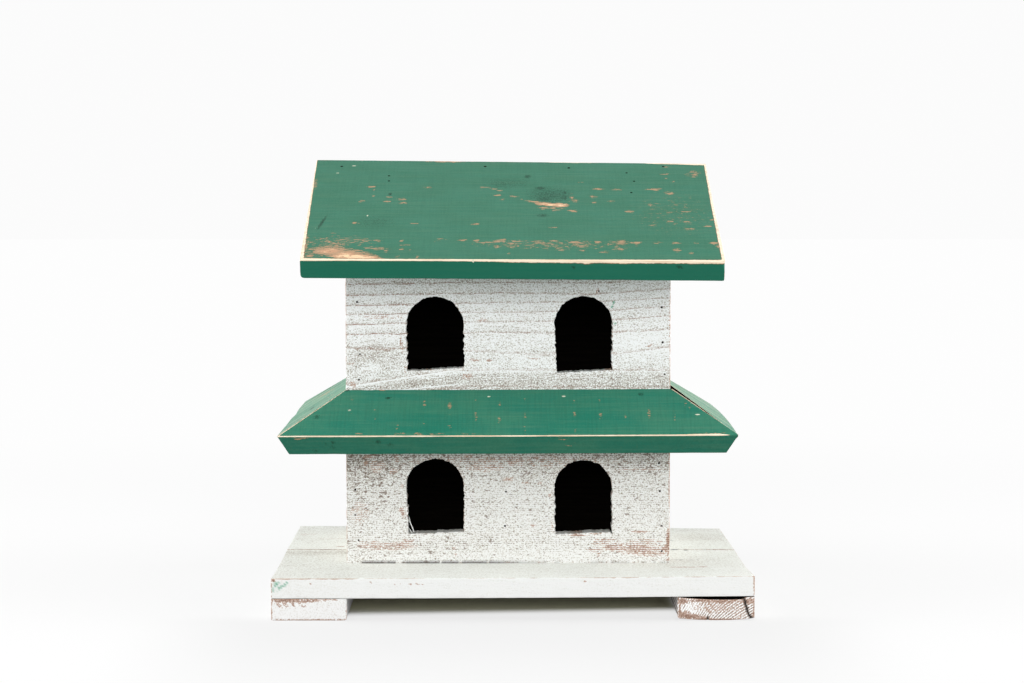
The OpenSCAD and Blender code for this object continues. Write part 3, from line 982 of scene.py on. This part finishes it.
def base_dense(at):
    dense = 0.9 * np.exp(-((at.y + 45) / 14) ** 2) * smooth(-at.x, 120, 160)
    dense += 0.7 * blob(at.x, at.y, 160, -95, 40, 50) + 0.6 * blob(at.x, at.y, 190, 45, 26, 24)
    dense += 0.45 * smooth(-at.x, 110, 170) * (1 - smooth(at.y, -42, -20))
    return dense + 0.3 * smooth(at.y, -30, 60)


def base_edges(mid, at):
    """Bare wood along the front arris, most at the left."""
    if mid[1] < -190 and mid[2] > 30 and abs(mid[0]) < 100:
        return np.interp(at.x, (-219, -150, -140, 60, 70, 105, 115, 219),
                         (0.85, 0.6, 1.6, 1.9, 0.9, 0.9, 1.6, 1.5))
    if mid[2] < 25:
        return 4.0
    if abs(mid[0]) > 200:
        return 2.4 if mid[0] < 0 else 1.2
    return 1.8


def foot_edges(mid, at):
    return 1.3 if mid[1] < -190 else 1.8


def foot_grime(at):
    """Dark spots, and the crack in the end of the right runner."""
    away = np.full(len(at.x), FAR)
    for (ax, az), (bx, bz) in zip(SPLIT, SPLIT[1:]):
        dx, dz = bx - ax, bz - az
        t = np.clip(((at.x - ax) * dx + (at.z - az) * dz) / (dx ** 2 + dz ** 2), 0, 1)
        away = np.minimum(away, np.hypot(at.x - ax - t * dx, at.z - az - t * dz))
    crack = 1 - smooth(away, 0.85, 1.4)
    return np.maximum(blots(FOOT_DARK, at.x, at.z), crack) * (at.y < FRONT_EDGE)


def end_grain(at):
    """Growth lines across the end of the right runner."""
    turn = np.radians(np.interp(at.x, (165, 185, 215), (60, 44, 34)))
    return (at.z * np.cos(turn) - (at.x - 190) * np.sin(turn)) / 2.1 + 40


def foot_dense(at):
    """Paint left whole near the inner end of the right runner."""
    return -2.4 * blob(at.x, at.z, 163, 11, 8, 5)


def base():
    for node, seed, shape in (
            ("base_board_front", 51, dict(step=(1.8, 2.4), thick_step=1.6,
                                          rounded=((0, 1, 2, 0, 1.8),))),
            ("base_board_back", 53, {})):
        board = Board(node, (X, Y, Z), seed, radius=0.6, wear=(0.12, 0.06, 0.35), **shape)
        if node == "base_board_front":
            _, across, upper = board.parts()
            board.bend(2, -CUP * (1 - (2 * across - 1) ** 2) * upper)
            board.bend(2, front_lift(board.points))
        # its upright faces take the darker copy of its white, as painted shade
        board.build([base_white, edge_white_shaded], upright_faces, base_edges, {
            "scuff": base_scuff, "grime": base_grime, "dense": base_dense,
            "green": lambda at: blots(EDGE_GREEN, at.x, at.z) * (at.y < FRONT_EDGE)})
    for node, seed, paint, cup, step, corner in (("foot_left", 55, foot_white, 0, 1.2, 2.2),
                                                 ("foot_right", 57, grained_white, 1.8, 1.0, 1.4)):
        board = Board(node, (Y, X, Z), seed, step=(3, step), radius=0.6, thick_step=1.2, cup=cup,
                      rounded=((1, 0, 2, 0, 2.2), (1, 1, 2, 0, corner)), wear=(0.12, 0.10, 0.5))
        _, across, upper = board.parts()
        if node == "foot_left":
            board.bend(0, -1.2 * across)
        else:
            # its top follows the warped board above, most beyond the crack
            follow = np.interp(board.points[:, 0], (149, 175, 207, 211, 219),
                               (0.9, 0.6, 0.2, 1.0, 0.95))
            board.bend(2, front_lift(board.points) * follow * upper)
            board.dent((176.7, -197, 0.4), 0.9, 1.2, Z)
        # the tops of the runners take the near-black wood, partly painted shade under the base
        board.build([paint, dark_wood_and_shade], top_faces, foot_edges, {
            "scuff": lambda at: blots(FOOT_BROWN, at.x, at.z) * (at.y < FRONT_EDGE),
            "grime": foot_grime, "ring": end_grain, "dense": foot_dense})


# ---- Skirt roof and roof ----

SKIRT_DROP, SKIRT_OUT, ROOF_PITCH = 37.5, 58.5, 23.4
SKIRT_FRONT = level("skirt_front", 1, 0)
EAVE_FRONT = level("roof_slab_front", 1, 0)

# marks on the front slope of the roof: x, distance up from the eave
ROOF_MARKS = [
    # the rubbed corner at the left of the eave
    (-165, 19, 17, 10, 1.5), (-150, 14, 22, 9, 1.35, -6), (-134, 9, 14, 4.5, 1.2, -8),
    (-142, 7, 22, 5, 2.4, -6), (-150, 12, 9, 5, 1.9), (-187, 30, 2.6, 22, 0.95),
    (-181, 9, 8, 4, 0.85), (-121, 24, 10, 3, 0.9, -4), (-134, 40, 4.5, 3.2, 0.85),
    (-122, 41, 4, 2, 1.15), (-140, 43, 7, 1.1, 1.05), (-129, 26, 5, 1.5, 1.05),
    (-167, 38, 4, 2, 1.05), (-158, 33, 7, 2.4, 1.1, -10), (-114, 18, 2, 3, 0.85),
    (-158, 40, 34, 11, 0.55), (-103, 7, 3, 1.4, 1.15), (-172, 46, 4, 1.2, 0.95),
    # the row above the eave
    (-101, 40, 2, 1.6, 1.05), (-97, 31.5, 4, 1.4, 1.1, 5), (-100, 23, 2.4, 2.4, 1.05),
    (-93, 21, 1.4, 2.4, 0.95), (-86, 6, 1.8, 2.2, 1.15), (-65, 44, 6, 1.2, 1.15, -4),
    (-67, 40, 6, 1.1, 0.95), (-47, 42, 6, 1.6, 0.95), (-33, 41, 3, 2.4, 1.25),
    (-24, 37, 8, 1.5, 1.25, 4), (-13, 39.5, 8, 3, 1, 8), (-9, 43, 4, 1.8, 1.25),
    (2, 39, 6, 1.9, 1.3), (-1, 34, 5.5, 1.3, 1.2, -8), (-2, 28, 4.5, 1.3, 1.2, -6),
    (-15, 28, 3.2, 4.4, 0.8), (-3, 14, 1.3, 2.4, 1.05), (22, 38, 3, 3.6, 0.9),
    (30, 36, 5, 2.4, 1.15), (37, 41, 6, 1.3, 1.15), (40, 25, 4.5, 3, 0.85), (44, 21, 3, 2.4, 1.05),
    (57, 37.5, 9, 2.4, 1.3), (60, 31, 8, 4.6, 0.85), (77, 38, 4, 2.5, 1.25), (97, 37, 9, 5.5, 1),
    (96, 25, 6, 6, 0.75), (112, 37, 6, 2.4, 1.3), (131, 37, 5, 1.4, 1.05), (147, 36, 5, 1.8, 1.2),
    (148, 22, 3.8, 3.4, 1, 5), (164, 36.5, 5, 1.3, 0.95), (63, 21, 3, 1.8, 0.95),
    (82, 17, 5, 2.2, 0.95), (160, 15.5, 2.2, 2.4, 0.95), (34, 32, 74, 10, 0.5),
    # the long scrape, and dashes left by the hollows of the sawn board
    (35, 120.6, 13, 3.4, 2.0, -11), (45, 119.2, 7, 4.6, 2.0, -3), (20, 127, 9, 1.3, 1.7, -16),
    (36, 112.5, 12, 1.8, 1.0, -4), (40, 107.5, 5, 1.6, 1.25), (28.5, 114, 4, 1.6, 1.15),
    (28, 110, 1.4, 2, 1.15), (-134, 162, 4.4, 2.2, 1.3), (-131, 155, 1.6, 1.6, 1.05),
    (-131, 140, 1.4, 1.6, 1.05), (-141, 128.5, 3.4, 1.4, 1.15), (-118, 127.5, 4, 2.2, 1.2),
    (-116, 138, 3, 1.6, 0.95), (-104, 133, 5, 2.8, 0.9), (-102.5, 124, 4.6, 1.9, 1.15),
    (-145, 79, 4.2, 1.8, 1.2), (-164, 57, 3, 1.2, 1.05), (-80, 160, 4.6, 1.5, 1.25),
    (-26, 160, 5, 1.5, 1.3), (-17, 157, 4, 1.3, 1.1, -20), (-11.5, 152.5, 3.6, 1.3, 1.15, -25),
    (-15, 142.5, 4.6, 1.8, 1), (-10, 132.5, 3.4, 1.2, 1), (2, 139, 4.6, 1.8, 1.1, -20),
    (9, 133, 1.4, 1.8, 1.05), (-90, 78, 3.8, 1.5, 1.2), (-34.5, 77, 4, 1.8, 1.2),
    (37, 69, 4, 1.5, 1.2), (65, 172.5, 3, 1.6, 0.95), (58, 129, 4.6, 3, 0.95),
    (56, 139, 1.7, 8, 0.75), (56, 106, 5.4, 2.6, 1.2, -18), (82, 156.5, 7, 1.7, 1.2),
    (100, 155, 6, 1.6, 1), (134, 156, 9, 2.1, 1.3), (77, 138.5, 4, 3.4, 0.8),
    (77, 125.5, 2.4, 2.4, 1.05), (93, 128, 5, 1.8, 1), (149, 147, 7, 3.6, 0.9),
    (148, 192, 5, 1.3, 1), (150, 209.5, 3.6, 1.3, 1.05), (148, 180, 1.6, 2.8, 0.8),
    (154, 174, 1.6, 2.2, 1.05), (176, 192, 4.4, 8, 0.87), (129, 121, 3.2, 3, 0.75),
    (108.5, 105, 4.6, 2.1, 1.25), (161, 104, 5, 1.7, 1.15), (145, 103, 3, 1.6, 1.05),
    (154, 120, 3.2, 1.5, 1), (162, 66, 5.4, 1.9, 1.2), (128, 74, 4, 1.5, 1.1),
    (159, 82, 4, 1.5, 1), (146, 83, 4, 2.2, 1.05), (180, 72, 5, 1.8, 1.15),
    (184, 86, 2.4, 1.5, 1.1), (150, 100, 45, 60, 0.27), (175, 192, 8, 8, 0.62),
    # beside the right edge, the left edge and the ridge
    (183, 36.5, 5, 2.6, 1.3), (187, 30, 3.2, 6, 1), (-188, 168, 2.6, 14, 0.95),
    (-62, 222.5, 19, 1.6, 1.5), (70, 222, 60, 1.2, 0.7)]
BACK_MARKS = [
    (152, 12, 22, 9, 1.9, 5), (120, 34, 11, 3.4, 1.4), (84, 38, 8, 3.2, 1.4), (40, 36, 20, 5, 1.2),
    (-6, 40, 12, 3.2, 1.5), (-60, 34, 26, 6, 1.2), (-120, 38, 10, 3.2, 1.5), (-170, 16, 9, 6, 1.5),
    (90, 120, 12, 4, 1.6, 12), (20, 150, 8, 3, 1.4), (-44, 96, 9, 3, 1.4),
    (-110, 140, 14, 4, 1.5, -8), (-150, 190, 8, 3, 1.4), (60, 200, 9, 3, 1.3),
    (150, 90, 7, 3, 1.4), (-80, 180, 7, 3, 1.3)]
ROOF_FLECKS = [
    (-134.5, 95.5, 0.8, 1.5, 1.0), (-181, 68, 0.9, 1.6, 0.6), (-153, 212.5, 2.6, 1.2, 0.9),
    (-168, 194.5, 2.0, 1.2, 0.75), (-36, -1, 0.8, 3, 1.2)]
ROOF_NAILS = [(-165, 210.7), (-118.3, 188), (-117.8, 175.6), (-26, 210.6), (55, 207),
              (110.4, 195), (116.7, 175), (112.8, 148.2), (146.7, 210.5)]
# places where the paint of the front slope is darker
ROOF_DARK = [
    (36, 142, 20, 18, 0.6), (27, 158.6, 5, 3.2, 1.0), (49.8, 148, 1.2, 3.4, 1.2),
    (49.6, 136, 1.2, 5, 1.05), (46.4, 135, 1.0, 5, 0.9), (31, 133, 9, 4, 0.8),
    (-115.4, 144.6, 1.5, 2.4, 1.4), (-175.7, 79.7, 15, 1.3, 1.1, 78), (15, 186, 3, 4, 0.9),
    (-5, 170, 22, 12, 0.45), (-126, 82, 20, 14, 0.35), (28, 96, 6, 4, 0.7)]
# faint spots on the edge of the eave: x, drop from its top
EAVE_DARK = [(54.5, 7.4, 1.6, 1.2, 1.2), (148.5, 6.6, 2.0, 1.4, 1.1), (151, 7.6, 1.2, 1.2, 0.9)]
# marks on the front skirt board: x, distance up from its outer edge
SKIRT_MARKS = [
    # ladders of dashes left by the saw
    (-150, 55, 1.3, 3, 0.9), (-150, 33, 1.17, 2, 0.78), (-127, 39, 1.6, 1.6, 1),
    (-127, 25, 1.3, 2, 0.9), (-82, 47.5, 1.17, 5, 0.88), (-82, 20.5, 1.08, 3.4, 0.88),
    (-58.6, 45, 1.71, 4.4, 1.28), (-58.6, 31, 1.2, 2, 0.8), (-58, 14, 1.2, 3, 0.8),
    (-34, 53, 1.17, 1.8, 1.08), (-34, 31, 1.17, 9, 0.93), (-12, 48.5, 1.35, 5, 0.98),
    (-12, 24, 1.26, 4.6, 0.98), (11.3, 55, 1.17, 2, 0.88), (11.3, 30, 1.17, 4.4, 1.03),
    (11.3, 8, 1.08, 6, 0.88), (57.7, 49, 1.17, 4, 0.78), (57.7, 30.5, 1.17, 5, 1.03),
    (57.7, 7, 1.17, 3.4, 0.88), (81.4, 52, 1.26, 1.8, 0.78), (81.4, 29.5, 1.35, 4.6, 1.13),
    (104.3, 28, 1.17, 3, 0.88), (127, 32, 1.2, 8, 0.9), (150, 31, 1.1, 9, 0.8),
    (161.1, 45.7, 1.44, 2, 0.88), (164.4, 40.9, 1.5, 1.6, 0.9), (207.5, 1.6, 1.6, 1.6, 1.2),
    (-104, 3.6, 6, 1.4, 0.8), (-86, 3.4, 5, 1.4, 0.9), (-70, 3.2, 7, 1.2, 0.9),
    (-141, 4, 4, 1.4, 0.8), (-40, 3, 10, 1, 0.8), (185, 3, 14, 1, 0.6),
    (-122.5, 69, 3.4, 1.6, 1.4), (-106.4, 14, 0.9, 6, 0.9)]
SKIRT_FLECKS = [
    (-151.5, 38.5, 2.2, 1.2, 0.8), (-128.7, 38.5, 1.6, 1.0, 0.62),
    (171.4, 30.4, 2.0, 1.0, 1.3, -4), (-159.7, 46.3, 1.2, 1.2, 0.55), (-22, 58.6, 1.3, 1.4, 1.0),
    (48, 58.6, 2.2, 1.3, 0.9)]
SKIRT_DARK = [
    (-116.3, 56.9, 2.4, 1.4, 1.5), (-181, 28.4, 2.6, 3, 0.95), (120.2, 61.3, 2.6, 2.4, 0.9),
    (-154.5, 69, 1.6, 2, 1.4)]
# and on its face: x, drop from the outer edge
FACE_MARKS = [
    (-193, 2.2, 8, 0.7, 1.2), (-197, 3.2, 5.0, 0.6, 1.1, 8), (45, 3, 6, 2.4, 0.45),
    (54, 10, 7, 3.4, 0.4)]
FACE_DARK = [
    (-164.9, 6.7, 2.4, 1.6, 1.0), (-165.1, 11.4, 3, 1.6, 0.8), (-123.6, 6.1, 2.4, 2, 1.1),
    (-112.6, 9.1, 3, 2, 0.75), (-181.8, 15, 2, 1.4, 0.9), (-172, 8, 1.4, 1.4, 0.7)]
# on the left skirt board: y, distance up from its outer edge
WING_MARKS = [
    (52, 33, 5, 9, 1.5), (30, 42, 4, 7, 0.95), (-40, 46, 4, 9, 0.9), (90, 24, 7, 9, 0.7),
    (-110, 20, 5, 9, 0.7)]
WING_DARK = [
    (-55, 27.8, 7, 2.4, 1.7), (120, 34, 8, 16, 0.7), (70, 48, 5, 12, 0.6), (-20, 30, 5, 14, 0.5)]


def slope_axes(grain, out, slope):
    """The axes of a sloping board: its grain, down the slope, and outwards."""
    return grain, unit(out - Z * slope), unit(out * slope + Z)


def on_slope(rows):
    """Marks that lie on the slope of a board and not on its edge."""
    return lambda at: (at.out > -0.9) * blots(rows, at.x, at.up)


def slope_or_face(slope, face, fade=1.0):
    """Marks on the slope of the front skirt board, and others on its edge."""
    return lambda at: np.where(at.out > -0.9, blots(slope, at.x, at.up),
                               fade * blots(face, at.x, -at.out))


def painted_edge_shade(strength):
    """How much painted shade darkens the edge of a board against its slope."""
    return lambda at: strength * (at.out < -0.5)


def skirt_edges(mid, at):
    """Wear along the outer arris of the front skirt board, and little else."""
    if mid[1] < SKIRT_FRONT + 1 and abs(mid[0]) < 60:
        slope = np.interp(at.x, (-208, -100, 150, 166, 190, 197, 200),
                          (1.7, 1.8, 1.9, 1.0, 0.9, 2.0, 9.0))
        face = np.interp(at.x, (-208, 190, 197, 200), (2.2, 2.2, 3.0, 9.0))
        return np.where(at.out > -0.7, slope, face)
    middle = (level("skirt_front", 2, 0) + level("skirt_front", 2, 1)) / 2
    if abs(mid[0]) > 150 and mid[2] > middle + 2:
        wall = (at.y - SKIRT_FRONT) / SKIRT_OUT
        if mid[0] > 0:
            return np.interp(wall, (0.0, 0.35, 0.5, 1.0), (6.0, 4.0, 2.2, 1.8))
        return np.interp(wall, (0.0, 0.8, 1.0), (1.9, 2.6, 5.0))
    return 9.0


def wing_edges(mid, at):
    """The side skirt boards: a thin line at the mitre and along the outside."""
    if mid[2] > 175 and mid[1] < -100:
        return 3.2 if mid[0] < 0 else 2.6
    return 4.5 if mid[2] > 160 else 9.0


def bend_skirt(board):
    """The ways in which hand work and weather moved the skirt's boards."""
    x, y, _ = board.points.T.copy()
    _, across, upper = board.parts()
    up, lower = 1 - across, 1 - upper
    if board.node == "skirt_front":
        # it rises a little to the right; its edge is deeper than the rest, and
        # its ends run past the drawn ones
        board.bend(2, np.interp(x, (-215, 0, 215), (-0.1, 0.3, 1.2)))
        board.bend(2, -1.9 * lower * (1 - smooth(up, 0, 0.8)))
        board.bend(0, smooth(x, 100, 170) * (0.5 + 1.6 * up))
        board.bend(0, -1.2 * smooth(-x, 150, 200) * (1 - up))
    if board.node == "skirt_right":
        # its outer edge bows outwards
        bow = np.sin(math.pi * np.clip((y + 165) / 330, 0, 1))
        board.bend(0, 2.6 * bow ** 0.8 * across)
        board.bend(2, 1.0 * bow * across)
    if board.node == "skirt_left":
        board.dent((-215, 30, 164), 26, 1.3, X)
        board.bend(0, -1.2 * across)
        board.bend(2, 1.2 * smooth(board.points[:, 1], -80, 60))


def skirt():
    marks = {
        "skirt_front": {"scuff": slope_or_face(SKIRT_MARKS, FACE_MARKS),
                        "dark": slope_or_face(SKIRT_DARK, FACE_DARK, 0.8),
                        "fleck": on_slope(SKIRT_FLECKS), "deep": painted_edge_shade(0.36)},
        "skirt_left": {"scuff": lambda at: blots(WING_MARKS, at.y, at.up),
                       "dark": lambda at: blots(WING_DARK, at.y, at.up)}}
    for node, grain, out, paint, seed in (
            ("skirt_front", X, -Y, skirt_green, 61), ("skirt_back", X, Y, skirt_green, 63),
            ("skirt_left", Y, -X, wing_green_and_sheen, 65), ("skirt_right", Y, X, wing_green_and_sheen, 67)):
        front = node == "skirt_front"
        board = Board(node, slope_axes(grain, out, SKIRT_DROP / SKIRT_OUT), seed,
                      step=1.8 if front else 2.6, radius=0.5, thick_step=1.6 if front else 4,
                      wear=(0.12, 0.08, 0.35))
        bend_skirt(board)
        # the mitred ends take the near-black wood, as painted shade in the gaps
        board.build([paint, dark_wood_and_shade], mitre_faces,
                    skirt_edges if front else wing_edges, marks.get(node))


def roof_edges(mid, at):
    """How narrow the wear is along the edges of the front roof board."""
    slope = at.out > -1.0
    if abs(mid[0]) > 180:
        if abs(mid[1] - EAVE_FRONT) < 9:
            return 5.0
        left = np.interp(at.up, (0, 20, 100, 150, 200), (0.5, 0.55, 0.8, 1.0, 1.7))
        right = np.interp(at.up, (0, 30, 120, 220), (0.62, 0.62, 0.75, 0.9))
        return np.where(slope, left if mid[0] < 0 else right, 2.2)
    if mid[2] > at.z.max() - 3:
        return np.interp(at.x, (-190, 32, 38, 76, 82, 122, 132, 175, 192),
                         (4.0, 4.0, 1.8, 1.8, 5.0, 5.0, 1.2, 0.5, 0.45))
    if mid[1] > EAVE_FRONT + 3:
        return 6.0
    top = np.interp(at.x, (-192, -60, 0, 100, 192), (0.44, 0.9, 1.15, 0.72, 0.60))
    face = np.interp(at.x, (-192, -90, 0, 50, 90, 192), (2.6, 1.9, 0.7, 0.7, 0.62, 0.70))
    runs = np.exp(-((at.x - 66) / 4) ** 2) + 0.8 * np.exp(-((at.x + 36) / 1.2) ** 2)
    return np.where(slope, top, face * (1 - 0.3 * runs))


def settle_eave(board):
    """The lower edge of the roof board is thinner at its left end, and its
    right end has been knocked."""
    up = board.size[1] - board.local[:, 1]
    lower = 1 - board.local[:, 2] / board.size[2]
    x = board.points[:, 0].copy()
    under = np.interp(x, (-192, -100, 0, 192), (0.6, 0.2, -0.5, -2.1))
    over = np.interp(x, (-192, 0, 192), (0.0, 0.0, -1.2))
    board.bend(2, (1 - smooth(up, 0, 60)) * (lower * under + (1 - lower) * over))
    board.bend(0, 1.2 * smooth(x, 120, 180) * (1 - smooth(up, 0, 120)))
    for z, depth in ((322.5, 1.4), (319, 1.2), (315, 0.9)):
        board.dent((board.points[:, 0].max(), -206.5, z), 1.7, depth, -X)


def eave_corner(node):
    """The top corner of the eave of a roof board, at its left end."""
    points = cad_points(node)
    low = points[points[:, 1] < points[:, 1].min() + 1]
    return low[np.argmin(low[:, 0])]


def roof():
    slope = math.tan(math.radians(ROOF_PITCH))
    axes = slope_axes(X, -Y, slope)
    _, down, face = axes
    front = Board("roof_slab_front", axes, 71, step=(1.5, 1.9), radius=0.6, thick_step=1.5,
                  rounded=((0, 0, 2, 0, 4.5), (0, 1, 2, 0, 2.2)), wear=(0.15, 0.08, 0.4))
    settle_eave(front)
    eave = eave_corner(front.node)

    def above(at): return (at.points - eave) @ -down

    def drop(at): return -((at.points - eave) @ face)
    front.build([roof_green_and_sheen], None, roof_edges, {
        "scuff": lambda at: (at.out > -0.9) * blots(ROOF_MARKS, at.x, above(at)),
        "fleck": lambda at: (drop(at) < 2.4) * blots(ROOF_FLECKS, at.x, above(at)),
        "dark": lambda at: np.where(at.out > -0.9, blots(ROOF_DARK, at.x, above(at)),
                                    blots(EAVE_DARK, at.x, drop(at))),
        "deep": painted_edge_shade(0.75)})
    studs(front.node, [eave + X * (x - eave[0]) - down * s for x, s in ROOF_NAILS], face,
          1.35, nail_rust)
    back = Board("roof_slab_back", slope_axes(X, Y, slope), 73, radius=0.6,
                 wear=(0.15, 0.08, 0.4))
    back.build([roof_green_and_sheen], marks={"scuff": on_slope(BACK_MARKS)})


walls()
inside()
base()
skirt()
roof()


# ---- Floor, light and camera ----

# the floor is white to the eye and throws back about half of its light. Round
# the house it glows, a painted light over most of the house's shadow; it keeps
# the shadow of the house only under the base, with a painted olive tint there
FLOOR_SIZE = 12.0
FLOOR_BOUNCE = 0.42
# how much of the floor near the house is painted glow over its shadow
FLOOR_LIFT = 0.8
# the strength of the light from all round, and the grey of the backdrop
DOME = 0.55
BACKDROP = 0.968
# softboxes: place, power, width and height
SOFTBOXES = {
    "left_softbox": ((-2.6, -0.2, 0.7), 45.0, 1.4, 1.0),
    "right_softbox": ((2.6, -0.2, 0.7), 45.0, 1.4, 1.0),
    "left_high_softbox": ((-2.3, -0.2, 1.6), 21.0, 1.4, 1.4),
    "right_high_softbox": ((2.3, -0.2, 1.6), 21.0, 1.4, 1.4),
    "front_softbox": ((0, -2.9, 0.9), 37.5, 2.4, 1.0)}
LIT_POINT = Vector((0, -0.1, 0.2))
# the camera: how far right, before the front wall and up, and its turn in
# degrees, downwards and to the right
CAMERA_X, CAMERA_BACK, CAMERA_Z = -0.01061, 2.26217, 0.40665
CAMERA_PITCH, CAMERA_YAW = 4.0403, 0.2594


def floor():
    material = bpy.data.materials.new("pale_floor")
    n = Tree(material, "Material")
    x, y, _ = n.split(n.value("TexCoord", part="Object"))
    low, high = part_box("base_board_front")[0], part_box("base_board_back")[1]
    # how far inside the outline of the base
    inside = n.math("MINIMUM", x - low[0], float(high[0]) - x)
    inside = n.math("MINIMUM", inside, y - low[1])
    inside = n.math("MINIMUM", inside, float(high[1]) - y)
    radius = n.math("SQRT", x * x + y * y)
    # where the floor glows as painted light; only well under the base does its real shadow show
    leaning = inside - x * 0.08
    lit = leaning.step(0.028, 0.060, 1.0, 0.0) * radius.step(0.4, 1.4, FLOOR_LIFT, 1.0)
    # the floor's white takes a painted olive tint in the shadow under the base
    shadowed = n.node("BsdfPrincipled", {
        "Base Color": n.mix(inside.step(0.02, 0.07), (251, 251, 251), (243, 241, 206)),
        "Roughness": 1.0, "Specular IOR Level": 0.0})
    # painted shade: the glow is a little darker near the house, and before it
    before = y.step(-0.17, -0.21) * y.step(-0.6, -0.25, 0.03, 0.1)
    before = before * n.math("ABSOLUTE", x).step(0.2, 0.36, 1.0, 0.0)
    shade = radius.step(0.3, 1.5, 0.935, 0.985) * (1.0 - before)
    glow = n.node("Emission", {"Color": n.value("CombineXYZ", {0: shade, 1: shade, 2: shade})})
    dim = n.node("BsdfDiffuse", {"Color": (FLOOR_BOUNCE, FLOOR_BOUNCE, FLOOR_BOUNCE, 1)})
    shown = n.mix_shaders(lit, shadowed, glow)
    n.put(n.output.inputs["Surface"], n.mix_shaders(n.seen(), dim, shown))
    size = FLOOR_SIZE / MM
    add_mesh("floor", [(-size, -size, 0), (size, -size, 0), (size, size, 0),
                                (-size, size, 0)], [(0, 1, 2, 3)], material)


def lights():
    world = bpy.context.scene.world = bpy.data.worlds.new("studio")
    n = Tree(world, "World")
    light = n.node("Background", {"Color": (1, 1, 1, 1), "Strength": DOME})
    shown = n.node("Background", {"Color": (BACKDROP, BACKDROP, BACKDROP, 1)})
    n.put(n.output.inputs["Surface"], n.mix_shaders(n.seen(), light, shown))
    for name, (place, power, width, height) in SOFTBOXES.items():
        data = bpy.data.lights.new(name, "AREA")
        data.shape, data.size, data.size_y, data.energy = "RECTANGLE", width, height, power
        lamp = add_object(name, data)
        lamp.location = place
        aim = LIT_POINT - Vector(place)
        lamp.rotation_euler = aim.to_track_quat("-Z", "Y").to_euler()


def camera():
    data = bpy.data.cameras.new("camera")
    data.lens, data.sensor_width, data.clip_end = 85.0, 36.0, 100
    obj = add_object("camera", data)
    obj.location = (CAMERA_X, wall_front * MM - CAMERA_BACK, CAMERA_Z)
    obj.rotation_euler = (math.radians(90 - CAMERA_PITCH), 0, math.radians(-CAMERA_YAW))
    bpy.context.scene.camera = obj


floor()
lights()
camera()
bpy.context.scene.view_settings.view_transform = "Standard"
